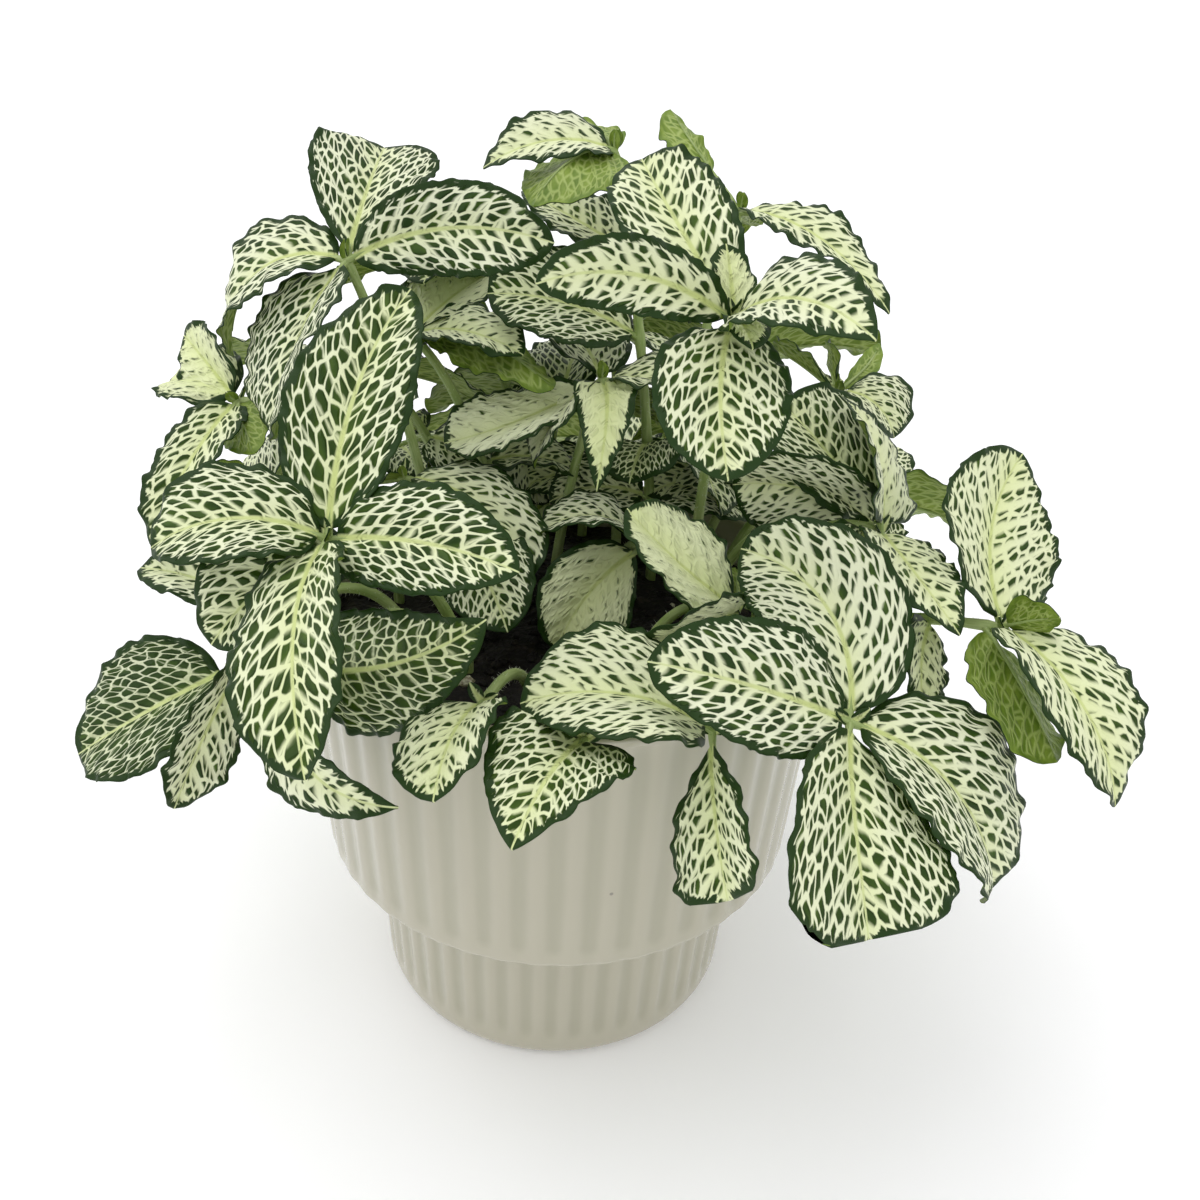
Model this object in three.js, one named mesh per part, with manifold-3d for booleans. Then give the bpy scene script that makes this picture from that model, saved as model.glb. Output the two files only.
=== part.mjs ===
// A white-veined nerve plant in a stepped, ribbed pot.
// Millimetres, +Z up, the origin at the middle of the pot's foot, the plant's front towards -Y.
import * as THREE from 'three';
import { mergeVertices } from 'three/addons/utils/BufferGeometryUtils.js';
import Module from 'manifold-3d';

const wasm = await Module();
wasm.setup();

// ---------------------------------------------------------------- driving dimensions

const POT_HEIGHT = 124;
const FOOT_RADIUS = 46; // flat face that the pot rests on
const BASE_RADIUS = 51.2; // narrow lower part, just above its rounded foot
const WAIST_RADIUS = 53.6; // narrow lower part, under the ledge
const LEDGE_HEIGHT = 51.4;
const LEDGE_RADIUS = 66; // wide upper part, at its lower edge
const RIM_RADIUS = 69.6;
const LIP_HEIGHT = 3; // plain band above the ribs
const FOOT_ROUND = 5.2; // height of the rounding between the foot and the wall
const EDGE_ROUND = 1.3; // rounding of the wide part's lower edge
const WALL = 3.3;
const FLOOR = 5;
const RIB_COUNT = 48;
const RIB_DEPTH = 1.0;
const SIDES_PER_RIB = 2;

const SOIL_HEIGHT = 112;
const SOIL_LUMP = 1.3; // height of the soil's lumps
const SOIL_EDGE_DROP = 2; // the soil lies this much lower along the wall
const SOIL_RINGS = [1, 0.82, 0.62, 0.4, 0.18]; // rings of its surface, as shares of the radius
const SOIL_SIDES = 32;
const CLEARANCE = 0.3; // between pieces that touch

const STEM_RADIUS = 1.5;
const STEM_SIDES = 4;
const STEM_STEPS = 4;
const ROOT_DEPTH = 14; // how far a stem stands in its hole
const STUB_HEIGHT = 3; // upright stretch of a stem above the soil
const BEND_SHARE = 0.3; // where the bend lies on the way from the stub to the crown
const HOLE_SIDES = 6;
const PETIOLE_LENGTH = 2.5;
const NEW_LEAF_LENGTH = 16; // a leaf shorter than this has only just opened
const NEW_PETIOLE_LENGTH = 2;
const PETIOLE_HALF_WIDTH = 0.9;
const BLADE_THICKNESS = 0.8;
const BLADE_FOLD = 14; // degrees that each half blade rises from the midrib
const BLADE_WAVE = 1.1; // height of the waves along the edge of a blade of full length
const FULL_LENGTH = 50;
const WAVE_STEP = 2.1; // radians of wave from one station to the next
const WAVE_WIDTH = 6; // a blade narrower than this on each side waves less
const BLADE_TEETH = 0.05; // depth of the edge's scallops, as a share of the half width
const BLADE_STATIONS = [0.03, 0.2, 0.42, 0.64, 0.85, 1];
const SMALL_BLADE_STATIONS = [0.03, 0.25, 0.55, 0.82, 1];
const SMALL_LENGTH = 42; // a blade shorter than this has the fewer stations
const STATION_STEPS = 4; // straight steps of the midrib between two stations
const TIP_HALF_WIDTH = 0.5;
const BLADE_ROUNDNESS = 1.2; // the greater, the more pointed a blade's base and tip
const FULL = 0.45; // share of its length at which a blade is the widest
const STEM_PHASE = 1.7; // radians by which the waves differ from stem to stem
const LEAF_PHASE = 2.3; // and from leaf to leaf
const FACING_POINT = new THREE.Vector3(0, 0, 50); // blades turn their upper faces away from it

// ---------------------------------------------------------------- leafy stems

// Each stem: where it leaves the soil [x, y], its crown [x, y, z] and the height of the bend
// between them. Each leaf: [how far up the stem it grows, heading, rise, length, width, droop,
// roll, sideways bend, share of the length at which it is the widest]. Headings turn from +X
// towards +Y, and every angle is in degrees.
const SHOWN_STEMS = {
  stem_front_left: {
    root: [-24, -26], crown: [-51, -49, 159], bend: 152,
    leaves: [
      [1, 87, 57, 59, 28, 25, -25, -30, 0.46], [1, 198, 35, 36, 27, 75, 5, -15, 0.49],
      [1, 340, 17, 42, 26, 30, -10, 0, 0.41], [1, 262, 1, 58, 27, 45, -5, 30, 0.5],
      [0.85, 211, -3, 36, 27, 50, 25, 0, 0.48],
    ],
  },
  stem_left_rim: {
    root: [-28, -32], crown: [-56, -45, 124], bend: 150,
    leaves: [
      [1, 321, 20, 54, 31, -25, -45, 15, 0.27], [1, 250, -17, 52, 24, -20, -25, 105, 0.2],
    ],
  },
  stem_left_low: {
    root: [-38, -18], crown: [-80, -35, 116], bend: 152,
    leaves: [
      [1, 194, -25, 44, 36, 15, 15, -20, 0.44], [0.94, 247, -33, 37, 22, 20, 115, -5, 0.53],
      [0.8, 169, 32, 34, 18, 40, -20, -5, 0.5],
    ],
  },
  stem_left_high: {
    root: [-34, 10], crown: [-56, 15, 202], bend: 168,
    leaves: [
      [1, 77, 48, 38, 33, 35, -30, 10, 0.71], [1, 341, 31, 55, 22, 40, -85, -10, 0.54],
      [1, 171, 10, 47, 27, 105, 30, -5, 0.45], [1, 236, -33, 45, 42, 45, 5, 0, 0.56],
    ],
  },
  stem_left_back: {
    root: [-46, 8], crown: [-86, 15, 165], bend: 170,
    leaves: [
      [1, 259, -5, 46, 19, 50, 35, -15, 0.42], [1, 141, 17, 29, 23, 50, 5, 5, 0.45],
      [1, 137, 30, 27, 20, 20, 40, -10, 0.45], [1, 287, 2, 21, 17, 35, 180, 15, 0.35],
    ],
  },
  stem_under_left: {
    root: [-22, 2], crown: [-42, 0, 152], bend: 146,
    leaves: [
      [1, 348, 3, 41, 28, 80, 10, -15, 0.44], [1, 215, 10, 32, 22, 45, 0, 0, 0.45],
      [0.4, 296, -3, 32, 26, 35, 0, 0, 0.45],
    ],
  },
  stem_middle_left: {
    root: [-16, 14], crown: [-44, 36, 178], bend: 166,
    leaves: [
      [1, 329, 21, 34, 23, 40, -15, 0, 0.41], [1, 340, 11, 43, 21, 40, 175, -20, 0.47],
      [1, 53, 26, 37, 28, 30, -20, 20, 0.42],
    ],
  },
  stem_front: {
    root: [4, -42], crown: [5, -73, 127], bend: 131,
    leaves: [
      [1, 247, 20, 36, 30, 40, -20, 5, 0.29],
    ],
  },
  stem_front_middle: {
    root: [-8, -38], crown: [-17, -64, 129], bend: 131,
    leaves: [
      [1, 252, 22, 33, 24, 45, -20, 15, 0.49],
    ],
  },
  stem_front_hanging: {
    root: [26, -42], crown: [32, -69, 127], bend: 134,
    leaves: [
      [1, 180, 37, 41, 38, 62, -35, 0, 0.41], [1, 268, -29, 33, 25, 10, -70, 15, 0.79],
    ],
  },
  stem_heart: {
    root: [12, 6], crown: [19, 2, 134], bend: 138,
    leaves: [
      [1, 185, 56, 30, 24, 105, -5, 5, 0.44], [1, 214, -18, 34, 27, 30, 40, 25, 0.6],
      [1, 76, -3, 22, 24, 60, 10, 0, 0.45],
    ],
  },
  stem_heart_right: {
    root: [18, -26], crown: [41, -29, 134], bend: 140,
    leaves: [
      [1, 172, 33, 34, 30, -10, 0, -15, 0.47], [1, 234, 14, 31, 28, 25, 80, -30, 0.55],
      [1, 88, 24, 13, 14, 20, 180, 0, 0.45],
    ],
  },
  stem_middle: {
    root: [-4, 16], crown: [7, 23, 172], bend: 150,
    leaves: [
      [1, 279, 3, 36, 17, 70, -15, -25, 0.2], [1, 211, -19, 28, 20, 55, -5, 15, 0.46],
      [1, 200, -27, 42, 25, -15, 25, -10, 0.65], [1, 344, 12, 30, 27, 30, -10, 0, 0.45],
      [1, 108, 22, 29, 25, 30, 0, 0, 0.45],
    ],
  },
  stem_top: {
    root: [24, 26], crown: [8, 40, 226], bend: 180,
    leaves: [
      [1, 209, 20, 34, 20, 55, 35, -15, 0.33], [1, 125, 29, 23, 20, 40, 195, 0, 0.48],
      [1, 232, 11, 32, 31, 60, 185, 0, 0.36], [0.75, 140, 17, 37, 23, 5, 25, 0, 0.37],
      [0.55, 186, 32, 40, 32, 35, 50, 0, 0.56], [0.3, 255, 15, 19, 27, 55, -15, 0, 0.45],
    ],
  },
  stem_right_high: {
    root: [34, 14], crown: [33, -26, 203], bend: 168,
    leaves: [
      [1, 128, 41, 50, 26, 25, 30, -25, 0.55], [1, 200, 36, 48, 16, 45, 65, 20, 0.51],
      [1, 299, 39, 42, 23, 60, -40, 5, 0.31], [1, 253, -22, 38, 29, 25, -15, 30, 0.51],
      [1, 102, 30, 13, 11, 5, -5, 5, 0.41], [1, 277, -20, 9, 9, 5, 0, 0, 0.45],
    ],
  },
  stem_back_high: {
    root: [28, 35], crown: [42, 49, 211], bend: 180,
    leaves: [
      [1, 305, 10, 53, 19, 55, -30, 15, 0.37], [1, 141, 41, 36, 15, 15, 195, -30, 0.52],
      [1, 95, -18, 39, 26, 5, 0, 20, 0.45], [0.27, 292, 8, 27, 27, 55, 0, 0, 0.45],
    ],
  },
  stem_front_right: {
    root: [46, -22], crown: [62, -65, 128], bend: 150,
    leaves: [
      [1, 82, 44, 52, 36, 45, 25, 70, 0.5], [1, 196, 31, 49, 29, 15, 5, -5, 0.46],
      [1, 341, -7, 49, 42, 70, 10, -20, 0.52], [1, 258, -5, 47, 40, 50, -10, 25, 0.75],
    ],
  },
  stem_right_middle: {
    root: [40, 14], crown: [80, 1, 143], bend: 152,
    leaves: [
      [1, 185, 40, 40, 31, 50, 110, -5, 0.58], [1, 150, 50, 39, 34, 20, 45, -5, 0.6],
    ],
  },
  stem_right_edge: {
    root: [52, 4], crown: [78, -8, 146], bend: 152,
    leaves: [
      [1, 268, 14, 41, 21, 45, -30, 35, 0.39], [1, 86, 64, 36, 28, 35, 0, 55, 0.2],
      [0.9, 250, -12, 32, 24, 30, 0, 0, 0.45],
    ],
  },
  stem_right_back: {
    root: [38, 32], crown: [73, 39, 166], bend: 158,
    leaves: [
      [1, 324, 12, 20, 26, 80, -40, -10, 0.45], [1, 89, 16, 22, 18, 35, -35, -5, 0.45],
      [1, 34, 24, 21, 7, 0, 190, 35, 0.47], [1, 125, 17, 26, 20, 20, 0, -10, 0.45],
    ],
  },
  stem_far_right: {
    root: [48, -10], crown: [101, -39, 138], bend: 132,
    leaves: [
      [1, 97, 29, 51, 36, 0, 20, -50, 0.39], [1, 294, 5, 48, 32, 80, -25, 20, 0.35],
      [1, 313, 41, 13, 12, 15, 0, 0, 0.45], [0.95, 284, -14, 34, 26, 30, 165, 15, 0.52],
      [0.8, 242, -7, 26, 16, 45, -5, 35, 0.44],
    ],
  },
};

// Stems on the far side: root, crown and bend as above, then the heading of the upper pair of
// leaves and the mean length of a leaf.
const BACK_STEMS = {
  stem_back_top_left: {
    root: [-14, 52], crown: [-36, 72, 186], bend: 184, turn: 82, size: 34,
  },
  stem_back_middle: {
    root: [14, 36], crown: [9, 70, 171], bend: 178, turn: 37, size: 36,
  },
  stem_back_left: {
    root: [-30, 34], crown: [-66, 56, 160], bend: 164, turn: 75, size: 44,
  },
  stem_back: {
    root: [-8, 40], crown: [-4, 70, 148], bend: 150, turn: 81, size: 38,
  },
  stem_back_right: {
    root: [24, 46], crown: [48, 80, 158], bend: 162, turn: 0, size: 42,
  },
  stem_rim_left: {
    root: [-44, 26], crown: [-92, 48, 120], bend: 150, turn: 30, size: 36,
  },
  stem_rim_back_left: {
    root: [-26, 50], crown: [-60, 98, 118], bend: 150, turn: 112, size: 38,
  },
  stem_rim_back: {
    root: [4, 54], crown: [20, 104, 118], bend: 150, turn: 70, size: 46,
  },
  stem_rim_right: {
    root: [46, 30], crown: [92, 60, 122], bend: 150, turn: 70, size: 40,
  },
};

// Their leaves grow in opposite pairs, the upper pair at the crown.
const PAIRS = 2;
const PAIR_GAP = 0.04; // share of the stem between two pairs
const PAIR_RISE = 32; // rise of the upper pair
const PAIR_FALL = 18; // how much lower each further pair rises
const PAIR_VARIETY = 0.08; // difference in length, as a share
const PAIR_DROOP = 50;
const PAIR_ASPECT = 0.76; // width to length

// ---------------------------------------------------------------- solids

/** A solid that can be joined and cut, from a closed geometry. */
function toSolid(geometry) {
  const bare = geometry.clone();
  for (const name of Object.keys(bare.attributes)) {
    if (name !== 'position') bare.deleteAttribute(name);
  }
  const merged = mergeVertices(bare, 1e-4);
  const mesh = new wasm.Mesh({
    numProp: 3,
    vertProperties: new Float32Array(merged.attributes.position.array),
    triVerts: new Uint32Array(merged.index.array),
  });
  return new wasm.Manifold(mesh);
}

/** The geometry of a joined or cut solid. */
function toGeometry(solid) {
  const mesh = solid.getMesh();
  const geometry = new THREE.BufferGeometry();
  geometry.setAttribute('position', new THREE.BufferAttribute(mesh.vertProperties, 3));
  geometry.setIndex(new THREE.BufferAttribute(mesh.triVerts, 1));
  geometry.computeVertexNormals();
  return geometry;
}

/** A closed geometry from rings of equally many points, with a fan over each end. */
function loftRings(rings) {
  const count = rings[0].length;
  const positions = rings.flat().flatMap((point) => [point.x, point.y, point.z]);
  const index = [];
  for (let row = 0; row + 1 < rings.length; row += 1) {
    for (let side = 0; side < count; side += 1) {
      const a = row * count + side;
      const b = row * count + ((side + 1) % count);
      index.push(a, b, b + count, a, b + count, a + count);
    }
  }
  const last = (rings.length - 1) * count;
  for (let side = 1; side + 1 < count; side += 1) {
    index.push(0, side + 1, side, last, last + side, last + side + 1);
  }
  const geometry = new THREE.BufferGeometry();
  geometry.setAttribute('position', new THREE.Float32BufferAttribute(positions, 3));
  geometry.setIndex(index);
  return geometry;
}

/** A ring round the Z axis, with its radius given as a function of the angle. */
function roundRing(sides, z, radiusAt) {
  return Array.from({ length: sides }, (_, side) => {
    const angle = (side / sides) * 2 * Math.PI;
    const radius = radiusAt(angle, side);
    const height = typeof z === 'function' ? z(angle) : z;
    return new THREE.Vector3(radius * Math.cos(angle), radius * Math.sin(angle), height);
  });
}

// ---------------------------------------------------------------- pot and soil

/** Inside of the pot as [radius, height] pairs, from its floor up to its mouth. */
function cavityProfile(inset) {
  const ledge = LEDGE_HEIGHT + WALL;
  return [
    [BASE_RADIUS - WALL - RIB_DEPTH - inset, FLOOR + inset],
    [WAIST_RADIUS - WALL - RIB_DEPTH - inset, ledge + inset],
    [LEDGE_RADIUS - WALL - RIB_DEPTH - inset, ledge + inset],
    [RIM_RADIUS - WALL - RIB_DEPTH - inset, POT_HEIGHT],
  ];
}

/** The cavity's radius at a height in the wide upper part. */
function upperCavityRadius(height, inset) {
  const [, , [lowRadius, low], [highRadius, high]] = cavityProfile(inset);
  return lowRadius + ((highRadius - lowRadius) * (height - low)) / (high - low);
}

function buildPot() {
  // Outside as [height, radius, share of the ribs' depth], from the foot up to the lip.
  const lip = POT_HEIGHT - LIP_HEIGHT;
  const profile = [
    [0, FOOT_RADIUS, 0],
    [0.25 * FOOT_ROUND, FOOT_RADIUS + 0.7 * (BASE_RADIUS - FOOT_RADIUS), 0],
    [0.8 * FOOT_ROUND, BASE_RADIUS, 0.7],
    [FOOT_ROUND + EDGE_ROUND, BASE_RADIUS, 1],
    [LEDGE_HEIGHT, WAIST_RADIUS, 1],
    [LEDGE_HEIGHT, LEDGE_RADIUS - EDGE_ROUND, 1],
    [LEDGE_HEIGHT + EDGE_ROUND, LEDGE_RADIUS, 1],
    [lip, RIM_RADIUS, 1],
    [lip + RIB_DEPTH, RIM_RADIUS, 0],
    [POT_HEIGHT - RIB_DEPTH, RIM_RADIUS, 0],
    [POT_HEIGHT, RIM_RADIUS - RIB_DEPTH, 0],
  ];
  const sides = RIB_COUNT * SIDES_PER_RIB;
  const rings = profile.map(([height, radius, share]) => roundRing(sides, height, (_, side) => {
    const valley = side % SIDES_PER_RIB === 0 ? 1 : 0;
    return radius - RIB_DEPTH * share * valley;
  }));
  const outside = toSolid(loftRings(rings));
  const inner = cavityProfile(0).map(([radius, z]) => roundRing(SOIL_SIDES, z, () => radius));
  const [mouthRadius] = cavityProfile(0).at(-1);
  inner.push(roundRing(SOIL_SIDES, POT_HEIGHT + WALL, () => mouthRadius));
  return toGeometry(outside.subtract(toSolid(loftRings(inner))));
}

/** Height of the lumpy soil surface. */
function soilHeight(x, y) {
  return SOIL_HEIGHT + SOIL_LUMP * Math.sin(0.21 * x + 1) * Math.cos(0.17 * y - 0.6);
}

function buildSoil(stems) {
  const rings = cavityProfile(CLEARANCE).slice(0, 3)
    .map(([radius, z]) => roundRing(SOIL_SIDES, z, () => radius));
  const edgeHeight = SOIL_HEIGHT - SOIL_EDGE_DROP;
  const edgeRadius = upperCavityRadius(edgeHeight, CLEARANCE);
  for (const share of SOIL_RINGS) {
    const radius = edgeRadius * share;
    const heightAt = (angle) => soilHeight(radius * Math.cos(angle), radius * Math.sin(angle));
    rings.push(roundRing(SOIL_SIDES, share === 1 ? edgeHeight : heightAt, () => radius));
  }
  let soil = toSolid(loftRings(rings));
  const holeRadius = (STEM_RADIUS + CLEARANCE) / Math.cos(Math.PI / HOLE_SIDES);
  const floor = SOIL_HEIGHT - ROOT_DEPTH - CLEARANCE;
  const depth = POT_HEIGHT - floor;
  for (const { root: [x, y] } of stems) {
    const hole = new THREE.CylinderGeometry(holeRadius, holeRadius, depth, HOLE_SIDES);
    hole.rotateX(Math.PI / 2);
    hole.translate(x, y, floor + depth / 2);
    soil = soil.subtract(toSolid(hole));
  }
  return toGeometry(soil);
}

// ---------------------------------------------------------------- leaves and stems

/** Unit vector at a heading and a rise, both in degrees. */
function direction(heading, rise) {
  const h = THREE.MathUtils.degToRad(heading);
  const r = THREE.MathUtils.degToRad(rise);
  return new THREE.Vector3(Math.cos(h) * Math.cos(r), Math.sin(h) * Math.cos(r), Math.sin(r));
}

/** Centre line of a stem's free part, from the soil over to its crown. */
function stemCurve({ root, crown, bend }) {
  const top = new THREE.Vector3(...crown);
  const foot = new THREE.Vector3(root[0], root[1], SOIL_HEIGHT + STUB_HEIGHT);
  const knee = foot.clone().lerp(top, BEND_SHARE).setZ(bend);
  return new THREE.QuadraticBezierCurve3(foot, knee, top);
}

/** The stem itself: straight up out of its hole, then along its curve. */
function buildStalk({ root, crown }, curve) {
  const lean = Math.atan2(crown[1] - root[1], crown[0] - root[0]);
  const across = new THREE.Vector3(-Math.sin(lean), Math.cos(lean), 0);
  const ringAt = (middle, tangent) => Array.from({ length: STEM_SIDES }, (_, side) => {
    const angle = (side / STEM_SIDES) * 2 * Math.PI;
    return middle.clone()
      .addScaledVector(across, STEM_RADIUS * Math.sin(angle))
      .addScaledVector(across.clone().cross(tangent), STEM_RADIUS * Math.cos(angle));
  });
  const up = new THREE.Vector3(0, 0, 1);
  const foot = curve.getPoint(0);
  const rings = [ringAt(foot.clone().setZ(SOIL_HEIGHT - ROOT_DEPTH), up), ringAt(foot, up)];
  for (let step = 1; step <= STEM_STEPS; step += 1) {
    rings.push(ringAt(curve.getPoint(step / STEM_STEPS), curve.getTangent(step / STEM_STEPS)));
  }
  return toSolid(loftRings(rings));
}

/** Half width of an ovate blade at a share of its length, as a share of the widest. */
function bladeOutline(share, full) {
  const curve = (s) => s ** full * (1 - s) ** (1 - full);
  return (curve(share) / curve(full)) ** BLADE_ROUNDNESS;
}

/** One leaf: a short petiole and a folded, waved, drooping blade, as one closed loft. */
function buildLeaf(base, plan, phase) {
  const [, heading, rise, length, width, droop, roll, bend, full] = plan;
  const facing = base.clone().sub(FACING_POINT).normalize();
  const petiole = length < NEW_LEAF_LENGTH ? NEW_PETIOLE_LENGTH : PETIOLE_LENGTH;
  const rings = [];

  const addRing = (middle, tangent, halfWidth, thickness, wave, fold) => {
    const normal = facing.clone().addScaledVector(tangent, -facing.dot(tangent)).normalize();
    const across = tangent.clone().cross(normal);
    across.applyAxisAngle(tangent, THREE.MathUtils.degToRad(-roll));
    normal.applyAxisAngle(tangent, THREE.MathUtils.degToRad(-roll));
    const lift = halfWidth * Math.sin(THREE.MathUtils.degToRad(fold));
    const reach = halfWidth * Math.cos(THREE.MathUtils.degToRad(fold));
    const corner = (side, height) => middle.clone()
      .addScaledVector(across, side * reach).addScaledVector(normal, height);
    const top = thickness / 2;
    rings.push([
      corner(-1, lift - wave + top), corner(-1, lift - wave - top), corner(0, -top),
      corner(1, lift + wave - top), corner(1, lift + wave + top), corner(0, top),
    ]);
  };

  const start = direction(heading, rise);
  const stalk = PETIOLE_HALF_WIDTH;
  addRing(base, start, stalk, 2 * stalk, 0, 0);
  const point = base.clone().addScaledVector(start, petiole);
  let share = 0;
  const stations = length < SMALL_LENGTH ? SMALL_BLADE_STATIONS : BLADE_STATIONS;
  stations.forEach((station, number) => {
    const step = (station - share) / STATION_STEPS;
    for (let k = 0.5; k < STATION_STEPS; k += 1) {
      const at = share + step * k;
      point.addScaledVector(direction(heading + bend * at, rise - droop * at), length * step);
    }
    share = station;
    const tangent = direction(heading + bend * share, rise - droop * share);
    const scallop = 1 + BLADE_TEETH * (number % 2 === 0 ? 1 : -1);
    const halfWidth = Math.max((width / 2) * bladeOutline(share, full) * scallop, TIP_HALF_WIDTH);
    const swing = BLADE_WAVE * (length / FULL_LENGTH) * Math.min(1, halfWidth / WAVE_WIDTH);
    const wave = swing * Math.sin(number * WAVE_STEP + phase);
    addRing(point, tangent, halfWidth, BLADE_THICKNESS, wave, BLADE_FOLD);
  });
  return toSolid(loftBlade(rings));
}

/** Loft of six-cornered rings, split alike on the upper and the lower face. */
function loftBlade(rings) {
  const positions = rings.flat().flatMap((point) => [point.x, point.y, point.z]);
  const index = [];
  const quad = (a, b, c, d) => index.push(a, b, c, a, c, d);
  for (let row = 0; row + 1 < rings.length; row += 1) {
    const at = (corner) => row * 6 + corner;
    const on = (corner) => row * 6 + 6 + corner;
    quad(at(1), at(0), on(0), on(1));
    quad(at(2), at(1), on(1), on(2));
    quad(at(3), at(2), on(2), on(3));
    quad(at(4), at(3), on(3), on(4));
    quad(at(4), on(4), on(5), at(5));
    quad(at(5), on(5), on(0), at(0));
  }
  const last = (rings.length - 1) * 6;
  index.push(0, 2, 5, 0, 1, 2, 5, 3, 4, 5, 2, 3);
  index.push(last, last + 5, last + 2, last, last + 2, last + 1);
  index.push(last + 5, last + 4, last + 3, last + 5, last + 3, last + 2);
  const geometry = new THREE.BufferGeometry();
  geometry.setAttribute('position', new THREE.Float32BufferAttribute(positions, 3));
  geometry.setIndex(index);
  return geometry;
}

/** A whole leafy stem, its leaves fused to it. */
function buildStem(stem, number) {
  const curve = stemCurve(stem);
  const pieces = [buildStalk(stem, curve)];
  stem.leaves.forEach((leaf, order) => {
    const phase = number * STEM_PHASE + order * LEAF_PHASE;
    pieces.push(buildLeaf(curve.getPoint(leaf[0]), leaf, phase));
  });
  return toGeometry(wasm.Manifold.union(pieces));
}

// ---------------------------------------------------------------- the part

const glaze = { color: 0xd9dbd0, roughness: 0.25, metalness: 0 };
const earth = { color: 0x1d1713, roughness: 0.95, metalness: 0 };
const foliage = { color: 0x9db07a, roughness: 0.5, metalness: 0 };

function namedMesh(name, geometry, finish) {
  const mesh = new THREE.Mesh(geometry, new THREE.MeshStandardMaterial(finish));
  mesh.name = name;
  return mesh;
}

/** Leaves of a far-side stem: opposite pairs, each pair square to the one above it. */
function pairedLeaves({ turn, size }) {
  const leaves = [];
  for (let pair = 0; pair < PAIRS; pair += 1) {
    const rise = PAIR_RISE - PAIR_FALL * pair;
    for (const side of [0, 180]) {
      const length = size * (1 + PAIR_VARIETY * Math.cos(turn + side + pair));
      const heading = turn + 90 * pair + side;
      const width = PAIR_ASPECT * length;
      leaves.push([1 - PAIR_GAP * pair, heading, rise, length, width, PAIR_DROOP, 0, 0, FULL]);
    }
  }
  return leaves;
}

const stems = Object.entries(SHOWN_STEMS);
for (const [name, stem] of Object.entries(BACK_STEMS)) {
  stems.push([name, { ...stem, leaves: pairedLeaves(stem) }]);
}
const plant = new THREE.Group();
plant.add(namedMesh('pot', buildPot(), glaze));
plant.add(namedMesh('soil', buildSoil(stems.map(([, stem]) => stem)), earth));
stems.forEach(([name, stem], number) => {
  plant.add(namedMesh(name, buildStem(stem, number), foliage));
});

export default plant;
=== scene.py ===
"""A white-veined nerve plant in a stepped, ribbed and glazed pot, dressed for its portrait."""
import logging
import math
from collections.abc import Callable
from dataclasses import dataclass, field, replace
from enum import Enum

import bpy
import numpy as np
from mathutils import Matrix, Vector


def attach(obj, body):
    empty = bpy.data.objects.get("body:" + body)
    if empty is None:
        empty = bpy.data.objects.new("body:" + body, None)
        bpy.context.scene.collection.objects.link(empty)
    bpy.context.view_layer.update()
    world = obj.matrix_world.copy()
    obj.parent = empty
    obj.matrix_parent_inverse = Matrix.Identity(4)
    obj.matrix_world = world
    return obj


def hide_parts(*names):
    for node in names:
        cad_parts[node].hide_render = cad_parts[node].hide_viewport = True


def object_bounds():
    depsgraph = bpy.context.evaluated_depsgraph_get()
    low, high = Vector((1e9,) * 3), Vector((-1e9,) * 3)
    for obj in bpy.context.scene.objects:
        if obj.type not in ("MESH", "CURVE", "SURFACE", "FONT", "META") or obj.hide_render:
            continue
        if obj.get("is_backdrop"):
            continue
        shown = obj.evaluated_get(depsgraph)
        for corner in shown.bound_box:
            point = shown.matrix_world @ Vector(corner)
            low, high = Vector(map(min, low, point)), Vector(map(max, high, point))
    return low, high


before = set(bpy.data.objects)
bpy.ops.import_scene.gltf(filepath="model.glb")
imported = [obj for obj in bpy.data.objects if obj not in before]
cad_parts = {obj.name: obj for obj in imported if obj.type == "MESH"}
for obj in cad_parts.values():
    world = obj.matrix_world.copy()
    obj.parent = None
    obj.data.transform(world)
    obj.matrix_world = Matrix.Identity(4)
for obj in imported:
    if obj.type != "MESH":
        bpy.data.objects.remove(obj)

LOG = logging.getLogger("nerve_plant")
MM = 0.001
BAKE_MAP = "OFBake"
BOX_GAP = 0.05
FIRST_LATERAL = 0.92
LEAF_SEED_STEP = 7.31
SIDE_SEED_STEP = 31.7
SWAY_SCALE = 0.9
Array = np.ndarray
Colour = tuple[float, float, float]


def unit(vectors: Array) -> Array:
    """Vectors scaled to length 1, along their last axis."""
    return vectors / np.linalg.norm(vectors, axis=-1, keepdims=True)


def direction(heading: Array | float, rise: Array | float) -> Array:
    """Unit vectors at a heading and a rise, both in degrees."""
    turn, lift = np.radians(heading), np.radians(rise)
    flat = np.cos(lift)
    return np.stack([np.cos(turn) * flat, np.sin(turn) * flat, np.sin(lift) + 0 * turn], axis=-1)


def smooth_step(low: float, high: float, value: Array) -> Array:
    """0 up to low, 1 from high on, and a smooth rise between them."""
    share = np.clip((value - low) / (high - low), 0, 1)
    return share * share * (3 - 2 * share)


def path_length(points: Array) -> Array:
    """Distance along a path at each of its points."""
    return np.concatenate([[0], np.cumsum(np.linalg.norm(np.diff(points, axis=0), axis=1))])


def round_angles(sides: int) -> Array:
    """Angles of the corners of a many-sided ring, in radians."""
    return np.linspace(0, 2 * math.pi, sides, endpoint=False)


def linked(name: str, data: bpy.types.ID) -> bpy.types.Object:
    """A new object in the scene, with the data given."""
    made = bpy.data.objects.new(name, data)
    bpy.context.collection.objects.link(made)
    return made


# ------------------------------------------------------------------------------ shader maths


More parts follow.
